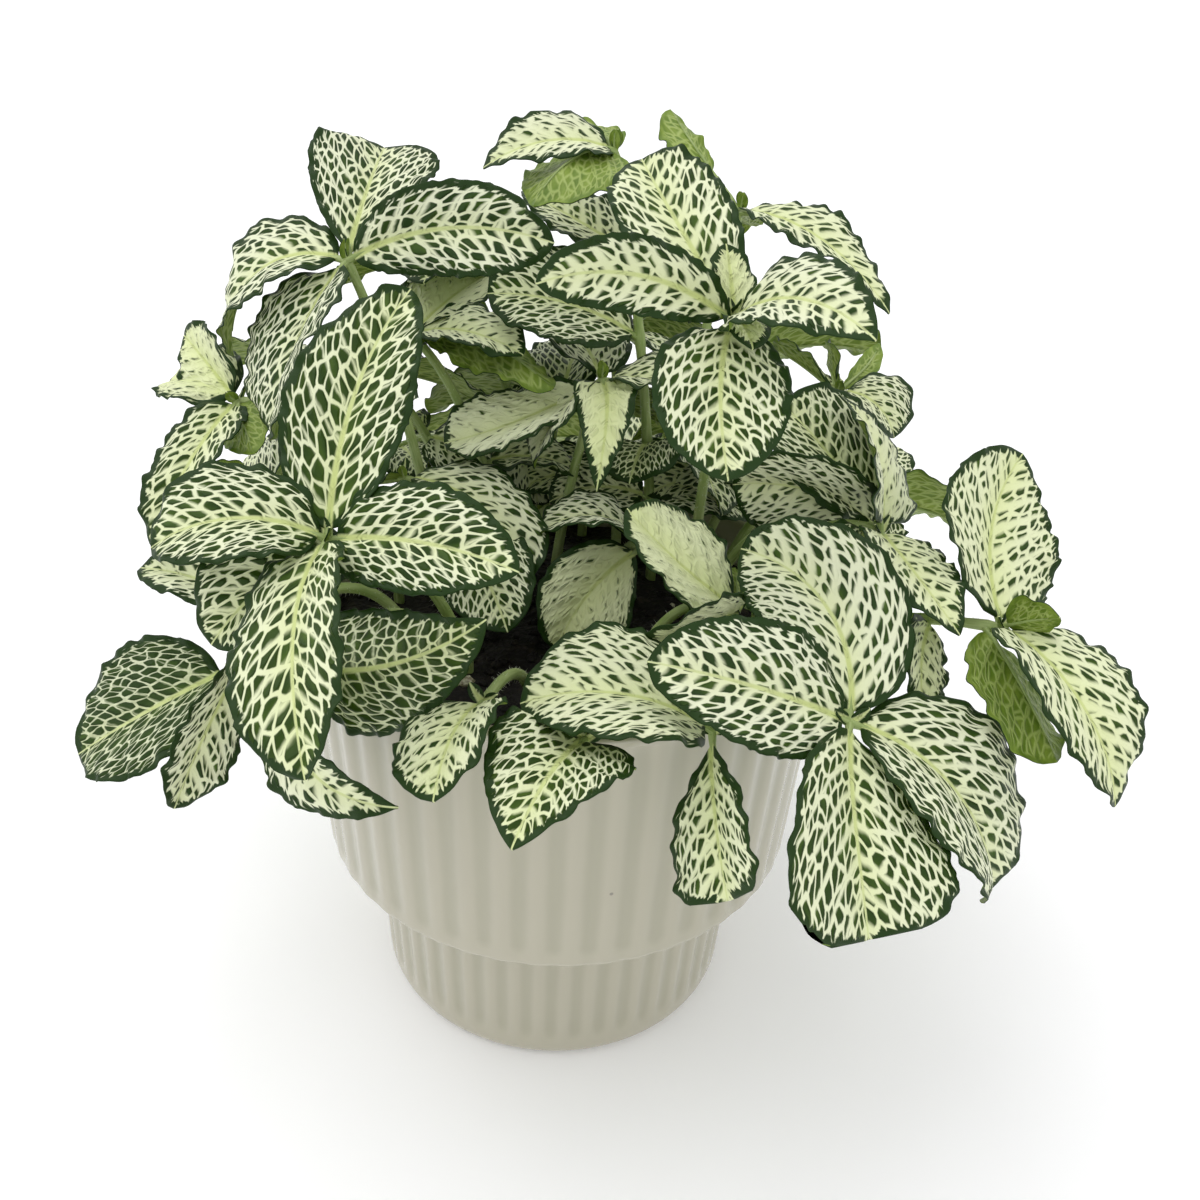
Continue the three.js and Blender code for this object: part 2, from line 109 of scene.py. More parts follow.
def maths_method(operation: str, swapped: bool = False) -> Callable[..., "Shade"]:
    """A method of Shade that adds a Math node.

    Args:
        operation: the node's operation.
        swapped: whether the Shade itself comes last.

    Returns:
        The method.
    """
    def apply(self: "Shade", *others: "Shade | float") -> "Shade":
        """A Math node on the Shade and the other values."""
        values = (*others, self) if swapped else (self, *others)
        return self.bench.node("Math", {"operation": operation}, dict(enumerate(values)))

    return apply


class Shade:
    """One output socket of a shader's node, with the usual operators."""

    def __init__(self, bench: "Bench", socket: bpy.types.NodeSocket) -> None:
        """Wrap a socket.

        Args:
            bench: the material that the socket belongs to.
            socket: the output socket.
        """
        self.bench = bench
        self.socket = socket

    __add__ = __radd__ = maths_method("ADD")
    __sub__ = maths_method("SUBTRACT")
    __rsub__ = maths_method("SUBTRACT", swapped=True)
    __mul__ = __rmul__ = maths_method("MULTIPLY")
    __truediv__ = maths_method("DIVIDE")
    __abs__ = maths_method("ABSOLUTE")
    __gt__ = maths_method("GREATER_THAN")
    least = maths_method("MINIMUM")
    most = maths_method("MAXIMUM")
    zigzag = maths_method("PINGPONG")

    def step(self, low: "Shade | float", high: "Shade | float") -> "Shade":
        """0 up to low, 1 from high on, and a smooth rise between them."""
        return self.bench.node(
            "MapRange", {"interpolation_type": "SMOOTHSTEP"},
            {"Value": self, "From Min": low, "From Max": high},
        )


class Bench:
    """Makes the nodes of one material."""

    def __init__(self, name: str) -> None:
        """Start an empty material.

        Args:
            name: the material's name.
        """
        self.material = bpy.data.materials.new(name)
        self.material.use_nodes = True
        self.tree = self.material.node_tree
        self.tree.nodes.clear()

    def node(
        self, kind: str, settings: dict[str, object], inputs: dict[str | int, object],
        output: str | int = 0,
    ) -> Shade:
        """Add one node.

        Args:
            kind: the node's type, without its ShaderNode prefix.
            settings: the node's own settings.
            inputs: a value or a Shade for each socket that isn't left alone.
            output: the output socket that is returned.

        Returns:
            The output, as a Shade.
        """
        made = self.tree.nodes.new("ShaderNode" + kind)
        for key, value in settings.items():
            setattr(made, key, value)
        for key, value in inputs.items():
            socket = made.inputs[key]
            if isinstance(value, Shade):
                self.tree.links.new(value.socket, socket)
            elif isinstance(value, tuple) and socket.type == "RGBA":
                socket.default_value = (*value, 1)
            else:
                socket.default_value = value
        return Shade(self, made.outputs[output]) if made.outputs else None

    def attribute(self, name: str) -> tuple[Shade, Shade, Shade]:
        """The three numbers that a piece carries at each point under one name."""
        whole = self.node("Attribute", {"attribute_name": name}, {}, "Vector")
        return tuple(self.node("SeparateXYZ", {}, {0: whole}, axis) for axis in range(3))

    def vector(self, x: Shade | float, y: Shade | float, z: Shade | float) -> Shade:
        """A vector from its three parts."""
        return self.node("CombineXYZ", {}, {0: x, 1: y, 2: z})

    def place(self) -> Shade:
        """Place on the object, in metres."""
        return self.node("TexCoord", {}, {}, "Object")

    def noise(self, where: Shade, scale: float, detail: float = 2, rough: float = 0.5) -> Shade:
        """Soft noise, about 0.5."""
        inputs = {"Vector": where, "Scale": scale, "Detail": detail, "Roughness": rough}
        return self.node("TexNoise", {}, inputs)

    def cells(
        self, where: Shade, scale: float, feature: str, random: float = 1, space: str = "3D",
    ) -> Shade:
        """Distance in a field of cells: to their middles or to their borders.

        Args:
            where: the place.
            scale: cells in one unit of it.
            feature: F1 for the middles, DISTANCE_TO_EDGE for the borders.
            random: how unlike the cells are.
            space: 2D or 3D.

        Returns:
            The distance.
        """
        return self.node(
            "TexVoronoi", {"voronoi_dimensions": space, "feature": feature},
            {"Vector": where, "Scale": scale, "Randomness": random}, "Distance",
        )

    def blend(self, share: Shade | float, one: Shade | Colour, other: Shade | Colour) -> Shade:
        """A colour between two others: the first at share 0, the second at 1."""
        return self.node("Mix", {"data_type": "RGBA"}, {0: share, 6: one, 7: other}, 2)

    def bump(self, height: Shade, distance: float, strength: float) -> Shade:
        """A surface normal from a height between 0 and 1.

        Args:
            height: the height.
            distance: what a height of 1 stands for, in metres.
            strength: share of the relief that is shown.

        Returns:
            The normal.
        """
        inputs = {"Height": height, "Distance": distance, "Strength": strength}
        return self.node("Bump", {}, inputs, "Normal")

    def finish(self, sockets: dict[str, object]) -> bpy.types.Material:
        """Close the material with a Principled shader.

        Args:
            sockets: a value or a Shade for each socket of the shader.

        Returns:
            The finished material.
        """
        surface = self.node("BsdfPrincipled", {}, sockets)
        self.node("OutputMaterial", {}, {"Surface": surface})
        return self.material


# ------------------------------------------------------------------------------ finishes


def half_leaf_place(
    bench: Bench, row: Shade, cell: Shade, across: Shade, seed: Shade,
) -> tuple[Shade, Shade, Shade]:
    """Where a point lies in the pattern of its own half leaf.

    Args:
        bench: the material's nodes.
        row: number of the row of cells, counted along the leaf.
        cell: number of the cell, counted out from the midrib.
        across: distance from the midrib, above 0 on one side of it.
        seed: the leaf's number.

    Returns:
        A number for the half leaf, the place for noise, and how far the row sways.
    """
    seeded = seed * LEAF_SEED_STEP + (across > 0) * SIDE_SEED_STEP
    place = bench.vector(row, cell, seeded)
    return seeded, place, bench.noise(place, SWAY_SCALE, 1) - 0.5


@dataclass(frozen=True)
class LeafUpper:
    """Upper face of a leaf: dark green cells in a cream net, inside a dark margin."""

    dark: Colour = (0.016, 0.043, 0.006)
    olive: Colour = (0.030, 0.064, 0.003)
    fresh: Colour = (0.105, 0.190, 0.018)
    margin: Colour = (0.013, 0.038, 0.004)
    cream: Colour = (0.760, 0.790, 0.590)
    warm: Colour = (0.700, 0.760, 0.400)
    midrib: Colour = (0.520, 0.600, 0.190)
    roughness: float = 0.50
    warp: float = 0.55
    random: float = 0.85
    net_reach: float = 1.2
    corner_fill: float = 0.20
    lateral_width: float = 0.03
    vein_start: float = -0.035
    vein_growth: float = 0.24
    full_growth: float = 0.16
    vein_variety: float = 0.08
    rib_reach: float = 1.20
    rib_taper: float = 0.95
    least_margin: float = 0.55
    tooth_margin: float = 1.15
    broad_margin: float = 0.9
    pale_margin: float = 0.3
    relief: float = 0.00070
    relief_share: float = 0.85
    fine_scale: float = 2600
    specular: float = 0.20

    def material(self) -> bpy.types.Material:
        """The finished material."""
        bench = Bench("leaf_upper")
        row, cell, across = bench.attribute("vein")
        edge, share, pale = bench.attribute("leaf")
        seed, tint, _ = bench.attribute("sort")
        seeded, place, sway = half_leaf_place(bench, row, cell, across, seed)
        swing = bench.noise(bench.vector(row, cell + 40, seeded), SWAY_SCALE, 1) - 0.5
        row = row + sway * self.warp
        cell = cell + swing * self.warp
        net = self.net(bench, row, cell, seeded)
        lateral = (row - FIRST_LATERAL).zigzag(1) * (0.30 + cell * 0.05)
        gap = net.least(lateral + self.lateral_width)
        full = pale * pale * pale * pale
        variety = (bench.noise(place, 2.3, 1) - 0.5) * self.vein_variety
        width = pale * self.vein_growth + self.vein_start + full * self.full_growth + variety
        veins = 1 - gap.step(width - 0.045, width + 0.10)
        fringe = self.fringe(bench, row, cell, seeded, pale)
        inside = edge.step(fringe - 0.30, fringe + 0.20)
        rib = abs(across)
        reach = self.rib_reach - share * self.rib_taper
        middle = 1 - rib.step(reach * 0.30, reach)
        veins = (veins * inside).most(middle)
        patches = bench.noise(place, 0.55, 2)
        cell_green = bench.blend(tint, self.dark, self.olive)
        green = bench.blend(patches.step(0.42, 0.75) * (0.20 + pale * 0.6), cell_green, self.fresh)
        green = bench.blend(gap.step(0.10, 0.42) * 0.55, green, self.margin)
        green = bench.blend(1 - inside, green, self.margin)
        warmth = (1 - rib / 7).most(0) * 0.5 + tint * 0.40 + full * 0.35
        pale_vein = bench.blend(warmth, self.cream, self.warm)
        colour = bench.blend(veins, green, pale_vein)
        colour = bench.blend(middle * (0.85 - share * 0.5), colour, self.midrib)
        fine = bench.noise(bench.place(), self.fine_scale, 2)
        relief = gap.step(0, 0.45) * inside * 0.80 + fine * 0.08
        return bench.finish({
            "Base Color": colour,
            "Roughness": self.roughness + (fine - 0.5) * 0.14 + veins * 0.05,
            "Normal": bench.bump(relief, self.relief, self.relief_share),
            "Specular IOR Level": self.specular,
        })

    def net(self, bench: Bench, row: Shade, cell: Shade, seeded: Shade) -> Shade:
        """Distance from the net's veins, with the cells' corners filled in.

        Args:
            bench: the material's nodes.
            row: number of the row of cells, counted along the leaf.
            cell: number of the cell, counted out from the midrib.
            seeded: a number for each half leaf.

        Returns:
            The distance.
        """
        where = bench.vector(row, cell + seeded, 0)
        border = bench.cells(where, 1.0, "DISTANCE_TO_EDGE", self.random, "2D")
        middle = bench.cells(where, 1.0, "F1", self.random, "2D")
        return (border - middle * middle * self.corner_fill).most(0) * self.net_reach

    def fringe(
        self, bench: Bench, row: Shade, cell: Shade, seeded: Shade, pale: Shade,
    ) -> Shade:
        """How far the dark margin reaches in at each place, in millimetres.

        Args:
            bench: the material's nodes.
            row: number of the row of cells, counted along the leaf.
            cell: number of the cell, counted out from the midrib.
            seeded: a number for each half leaf.
            pale: how pale the leaf is.

        Returns:
            The reach.
        """
        teeth = bench.noise(bench.vector(row * 2.6, cell * 0.7, seeded), 1.0, 1)
        broad = bench.noise(bench.vector(row, cell, seeded + 9), 0.6, 1)
        reach = self.least_margin + teeth.step(0.30, 0.62) * self.tooth_margin
        return reach + broad * self.broad_margin - pale * self.pale_margin


@dataclass(frozen=True)
class LeafUnder:
    """Underside of a leaf: olive, with the net of veins showing through."""

    olive: Colour = (0.105, 0.180, 0.012)
    lime: Colour = (0.215, 0.300, 0.040)
    vein: Colour = (0.380, 0.470, 0.140)
    roughness: float = 0.52
    warp: float = 0.55
    random: float = 0.85
    lateral_width: float = 0.02
    relief: float = 0.0003
    fine_scale: float = 2200
    specular: float = 0.35

    def material(self) -> bpy.types.Material:
        """The finished material."""
        bench = Bench("leaf_under")
        row, cell, across = bench.attribute("vein")
        edge, _, pale = bench.attribute("leaf")
        seed, _, _ = bench.attribute("sort")
        seeded, place, sway = half_leaf_place(bench, row, cell, across, seed)
        row = row + sway * self.warp
        where = bench.vector(row, cell + seeded, 0)
        border = bench.cells(where, 1.0, "DISTANCE_TO_EDGE", self.random, "2D")
        gap = border.least((row - FIRST_LATERAL).zigzag(1) + self.lateral_width)
        veins = (1 - gap.step(0.02, 0.20 + pale * 0.1)) * edge.step(0.6, 2.2)
        patches = bench.noise(place, 0.6, 2)
        base = bench.blend(patches.step(0.3, 0.75), self.olive, self.lime)
        colour = bench.blend(veins * 0.75, base, self.vein)
        fine = bench.noise(bench.place(), self.fine_scale, 2)
        return bench.finish({
            "Base Color": colour,
            "Roughness": self.roughness + (fine - 0.5) * 0.12,
            "Normal": bench.bump(veins * 0.7 + fine * 0.15, self.relief, 0.8),
            "Specular IOR Level": self.specular,
        })


@dataclass(frozen=True)
class StemSkin:
    """Round green stems and petioles, finely streaked and clouded with paler green."""

    green: Colour = (0.200, 0.290, 0.070)
    pale: Colour = (0.400, 0.480, 0.200)
    roughness: float = 0.5
    relief: float = 0.00015
    specular: float = 0.4

    def material(self) -> bpy.types.Material:
        """The finished material."""
        bench = Bench("stem_skin")
        along, side, seed = bench.attribute("stalk")
        streaks = bench.noise(bench.vector(along * 0.08, side * 1.6, seed), 2.2, 3)
        clouds = bench.noise(bench.place(), 90, 2)
        colour = bench.blend((streaks * 0.6 + clouds * 0.5).step(0.35, 0.80),
                             self.green, self.pale)
        return bench.finish({
            "Base Color": colour,
            "Roughness": self.roughness + (streaks - 0.5) * 0.2,
            "Normal": bench.bump(streaks, self.relief, 0.7),
            "Specular IOR Level": self.specular,
        })


@dataclass(frozen=True)
class StemHair:
    """Short pale hairs on the stems."""

    root: Colour = (0.62, 0.68, 0.46)
    tip: Colour = (0.86, 0.88, 0.78)
    roughness: float = 0.6

    def material(self) -> bpy.types.Material:
        """The finished material."""
        bench = Bench("stem_hair")
        along, _, _ = bench.attribute("stalk")
        clouds = bench.noise(bench.place(), 400, 1)
        colour = bench.blend((along + clouds - 0.5).step(0, 1), self.root, self.tip)
        return bench.finish({
            "Base Color": colour,
            "Roughness": self.roughness + (clouds - 0.5) * 0.2,
        })


@dataclass(frozen=True)
class PotGlaze:
    """Glossy off-white glaze: thin over the ribs, darker and greener between them, partly as
    pooled glaze and partly as painted shade.
    """

    # The valley colour is darker than the ridge colour, partly for pooled glaze and partly as
    # painted shade in the grooves.
    ridge: Colour = (0.440, 0.417, 0.325)
    valley: Colour = (0.385, 0.370, 0.280)
    speck: Colour = (0.18, 0.17, 0.15)
    roughness: float = 0.16
    speck_scale: float = 105
    relief: float = 0.0004
    specular: float = 0.5
    coat: float = 0.35
    coat_roughness: float = 0.08

    def material(self) -> bpy.types.Material:
        """The finished material."""
        bench = Bench("pot_glaze")
        depth, _, _ = bench.attribute("glaze")
        clouds = bench.noise(bench.place(), 38, 3)
        fine = bench.noise(bench.place(), 420, 2)
        # Share of the valley colour: deeper in the grooves between the ribs, partly pooled glaze
        # and partly painted shade.
        pooled_and_shaded = (depth + (clouds - 0.5) * 0.5).step(0.15, 1.0)
        colour = bench.blend(pooled_and_shaded, self.ridge, self.valley)
        spots = bench.cells(bench.place(), self.speck_scale, "F1")
        rare = bench.noise(bench.place(), 61, 1).step(0.60, 0.66)
        dots = (1 - spots.step(0.045, 0.075)) * rare
        colour = bench.blend(dots * 0.75, colour, self.speck)
        return bench.finish({
            "Base Color": colour,
            "Roughness": self.roughness + clouds * 0.10 + pooled_and_shaded * 0.04,
            "Normal": bench.bump(clouds * 0.7 + fine * 0.12, self.relief, 0.5),
            "Specular IOR Level": self.specular,
            "Coat Weight": self.coat,
            "Coat Roughness": self.coat_roughness,
        })


@dataclass(frozen=True)
class PottingSoil:
    """Dark, moist, crumbly soil."""

    dark: Colour = (0.006, 0.0045, 0.0035)
    dry: Colour = (0.045, 0.032, 0.021)
    roughness: float = 0.85
    clod_scale: float = 260
    grain_scale: float = 620
    relief: float = 0.0011
    specular: float = 0.3

    def material(self) -> bpy.types.Material:
        """The finished material."""
        bench = Bench("potting_soil")
        coarse = bench.noise(bench.place(), self.clod_scale, 4, 0.65)
        grains = bench.cells(bench.place(), self.grain_scale, "F1")
        colour = bench.blend((coarse - grains * 0.25).step(0.35, 0.75), self.dark, self.dry)
        return bench.finish({
            "Base Color": colour,
            "Roughness": self.roughness - coarse * 0.25,
            "Normal": bench.bump(coarse * 0.6 + grains * 0.5, self.relief, 1.0),
            "Specular IOR Level": self.specular,
        })


@dataclass(frozen=True)
class PaleGrit:
    """Grains of white grit in the soil."""

    light: Colour = (0.62, 0.60, 0.46)
    stained: Colour = (0.28, 0.24, 0.15)
    roughness: float = 0.8
    stain_scale: float = 700
    pit_scale: float = 1500
    relief: float = 0.0004

    def material(self) -> bpy.types.Material:
        """The finished material."""
        bench = Bench("pale_grit")
        stains = bench.noise(bench.place(), self.stain_scale, 3)
        pits = bench.cells(bench.place(), self.pit_scale, "F1")
        return bench.finish({
            "Base Color": bench.blend(stains.step(0.4, 0.7), self.light, self.stained),
            "Roughness": self.roughness - stains * 0.15,
            "Normal": bench.bump(pits, self.relief, 0.8),
        })


# ------------------------------------------------------------------------------ mesh making


@dataclass
class Patch:
    """A rectangle of the map on which a piece's colours can be kept, in millimetres."""

    width: float
    height: float
    corner: tuple[float, float] = (0.0, 0.0)


@dataclass
class Draft:
    """Points, faces and surface values of one piece, gathered bit by bit."""

    values: tuple[str, ...]
    points: list[Array] = field(default_factory=list)
    carried: dict[str, list[Array]] = field(default_factory=dict)
    faces: list[tuple[Array, int, int, Array]] = field(default_factory=list)
    patches: list[Patch] = field(default_factory=list)
    count: int = 0
    patch_gap: float = 1.0

    def add_points(self, points: Array, **values: Array) -> int:
        """Add points.

        Args:
            points: their places, in millimetres.
            values: for some of the draft's names, three numbers at each point.

        Returns:
            The number of the first point.
        """
        first = self.count
        self.points.append(points.reshape(-1, 3))
        size = len(self.points[-1])
        for name in self.values:
            given = values.get(name)
            filled = np.zeros((size, 3)) if given is None else given.reshape(-1, 3)
            self.carried.setdefault(name, []).append(filled)
        self.count += size
        return first

    def add_patch(self, width: float, height: float) -> int:
        """Add a rectangle to the piece's map, and return its number."""
        self.patches.append(Patch(width, height))
        return len(self.patches) - 1

    def add_faces(self, faces: Array, finish: int, patch: int, flat: Array) -> None:
        """Add faces.

        Args:
            faces: the numbers of each face's points.
            finish: which of the piece's finishes they wear.
            patch: the rectangle of the map that they lie on.
            flat: the place of every corner in that rectangle, in millimetres.
        """
        self.faces.append((faces, finish, patch, flat))

    def add_rings(
        self, rings: Array, along: Array, girth: float, finish: int, turned: bool = True,
        **values: Array,
    ) -> tuple[int, int]:
        """Add a sheet whose rows of points are closed rings.

        Args:
            rings: the points, ring by ring.
            along: place of each ring along the sheet, in millimetres.
            girth: width of the sheet on the map.
            finish: which of the piece's finishes it wears.
            turned: whether its faces turn the other way round.
            values: what the points carry, as for add_points.

        Returns:
            The numbers of the first point and of the sheet's rectangle.
        """
        rows, sides = rings.shape[:2]
        first = self.add_points(rings, **values)
        patch = self.add_patch(girth, max(float(along[-1]), 0.5))
        across = np.tile(np.linspace(0, girth, sides + 1), (rows, 1))
        flat = grid_flat(across, np.tile(along[:, None], (1, sides + 1)))
        quads = grid_faces(rows, sides, first, closed=True)
        order = slice(None, None, -1 if turned else 1)
        self.add_faces(quads[:, order], finish, patch, flat[:, order])
        return first, patch

    def lay_out(self) -> float:
        """Place the rectangles on shelves in a square, and return the square's side."""
        order = sorted(self.patches, key=lambda patch: -patch.height)
        area = sum((p.width + self.patch_gap) * (p.height + self.patch_gap) for p in order)
        widest = max(p.width for p in order) + 2 * self.patch_gap
        best, kept = math.inf, []
        for stretch in np.linspace(1.0, 1.5, 21):
            side = max(widest, math.sqrt(area) * stretch)
            x = y = self.patch_gap
            shelf, corners = 0.0, []
            for patch in order:
                if x + patch.width + self.patch_gap > side:
                    x, y = self.patch_gap, y + shelf + self.patch_gap
                    shelf = 0.0
                corners.append((x, y))
                x += patch.width + self.patch_gap
                shelf = max(shelf, patch.height)
            whole = max(side, y + shelf + self.patch_gap)
            if whole < best:
                best, kept = whole, corners
        for patch, corner in zip(order, kept):
            patch.corner = corner
        return best

    def piece(
        self, name: str, finishes: list[bpy.types.Material], node: str,
    ) -> bpy.types.Object:
        """Make the piece.

        Args:
            name: its name.
            finishes: its materials, in the order of the faces' finish numbers.
            node: the solid that it stands for.

        Returns:
            The piece.
        """
        mesh = bpy.data.meshes.new(name)
        points = np.concatenate(self.points) * MM
        mesh.vertices.add(len(points))
        mesh.vertices.foreach_set("co", points.astype(np.float32).ravel())
        corners = np.concatenate([faces.ravel() for faces, *_ in self.faces])
        sizes = np.concatenate([np.full(len(faces), faces.shape[1]) for faces, *_ in self.faces])
        starts = np.concatenate([[0], np.cumsum(sizes)[:-1]])
        finish_numbers = np.concatenate([np.full(len(f), finish) for f, finish, *_ in self.faces])
        mesh.loops.add(len(corners))
        mesh.polygons.add(len(sizes))
        for items, key, numbers in (
            (mesh.loops, "vertex_index", corners), (mesh.polygons, "loop_start", starts),
            (mesh.polygons, "material_index", finish_numbers),
        ):
            items.foreach_set(key, numbers.astype(np.int32))
        mesh.polygons.foreach_set("use_smooth", np.ones(len(sizes), dtype=bool))
        side = self.lay_out()
        flat = [
            (places.reshape(-1, 2) + self.patches[patch].corner) / side
            for _, _, patch, places in self.faces
        ]
        mapped = mesh.uv_layers.new(name=BAKE_MAP)
        mapped.uv.foreach_set("vector", np.concatenate(flat).astype(np.float32).ravel())
        for key in self.values:
            kept = mesh.attributes.new(key, "FLOAT_VECTOR", "POINT")
            numbers = np.concatenate(self.carried[key]).astype(np.float32)
            kept.data.foreach_set("vector", numbers.ravel())
        for finish in finishes:
            mesh.materials.append(finish)
        mesh.update(calc_edges=True)
        mesh.validate()
        made = linked(name, mesh)
        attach(made, "root")
        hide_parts(node)
        LOG.info("%s: %d faces", name, len(mesh.polygons))
        return made


def grid_faces(rows: int, columns: int, first: int, closed: bool = False) -> Array:
    """Quads of a grid of points, counted row by row.

    Args:
        rows: how many rows of points.
        columns: how many points in a row.
        first: number of the grid's first point.
        closed: whether each row joins up into a ring.

    Returns:
        The quads, each turning from a row to the next and then along it.
    """
    row = np.arange(rows - 1)[:, None] * columns
    here = np.arange(columns if closed else columns - 1)[None, :]
    there = (here + 1) % columns
    quads = [row + here, row + columns + here, row + columns + there, row + there]
    return np.stack(quads, axis=-1).reshape(-1, 4) + first


def grid_flat(across: Array, along: Array) -> Array:
    """Places on the map for the corners of grid_faces.

    Args:
        across: place of each point across the rectangle, with one column more for rings.
        along: place of each point along the rectangle, likewise.

    Returns:
        The places.
    """
    flat = np.stack([across, along], axis=-1).reshape(-1, 2)
    return flat[grid_faces(*across.shape, 0)]


def add_tube(
    draft: Draft, middles: Array, sideways: Array, upward: Array, radii: Array, sides: int,
    finish: int, seed: float, detail: float = 1.0,
) -> None:
    """Add a closed round tube.

    Args:
        draft: the piece.
        middles: points along its middle.
        sideways: a unit vector square to the tube at each point.
        upward: another, square to both.
        radii: radius at each point.
        sides: how many sides it has.
        finish: its finish.
        seed: a number that tells its streaks from another tube's.
        detail: its scale on the map.
    """
    angle = round_angles(sides)
    ring = sideways[:, None] * np.cos(angle)[None, :, None]
    ring = ring + upward[:, None] * np.sin(angle)[None, :, None]
    points = middles[:, None] + ring * radii[:, None, None]
    along = path_length(middles)
    rows = len(middles)
    told = np.zeros((rows, sides, 3))
    told[..., 0] = along[:, None]
    told[..., 1] = np.sin(angle)[None]
    told[..., 2] = seed
    turn = np.cross(sideways[0], upward[0]) @ (middles[1] - middles[0])
    girth = 2 * math.pi * float(radii.max()) * detail
    first, patch = draft.add_rings(points, along * detail, girth, finish, turn < 0, stalk=told)
    for row, end, outward in ((0, middles[0], turn < 0), (rows - 1, middles[-1], turn > 0)):
        hub = draft.add_points(end[None], stalk=told[row, :1])
        here = np.arange(sides)
        there = (here + 1) % sides
        start = first + row * sides
        fan = np.stack([start + here, start + there, np.full(sides, hub)], axis=-1)
        place = np.zeros((sides, 3, 2)) + (0.0, float(along[row] * detail))
        draft.add_faces(fan if outward else fan[:, ::-1], finish, patch, place)


# ------------------------------------------------------------------------------ leaves


@dataclass(frozen=True)
class LeafPlan:
    """One leaf: where it grows, how it is turned, its size, how pale it is and where it is widest.

    Lengths are in millimetres and angles in degrees. Headings turn from +X towards +Y.
    """

    share: float
    heading: float
    rise: float
    length: float
    width: float
    droop: float
    roll: float = 0
    bend: float = 0
    pale: float = 0.4
    full: float = 0.45


class LeafFinish(Enum):
    """Finishes of a leafy stem, in the order of its material slots."""

    UPPER = 0
    UNDER = 1
    STEM = 2
    HAIR = 3


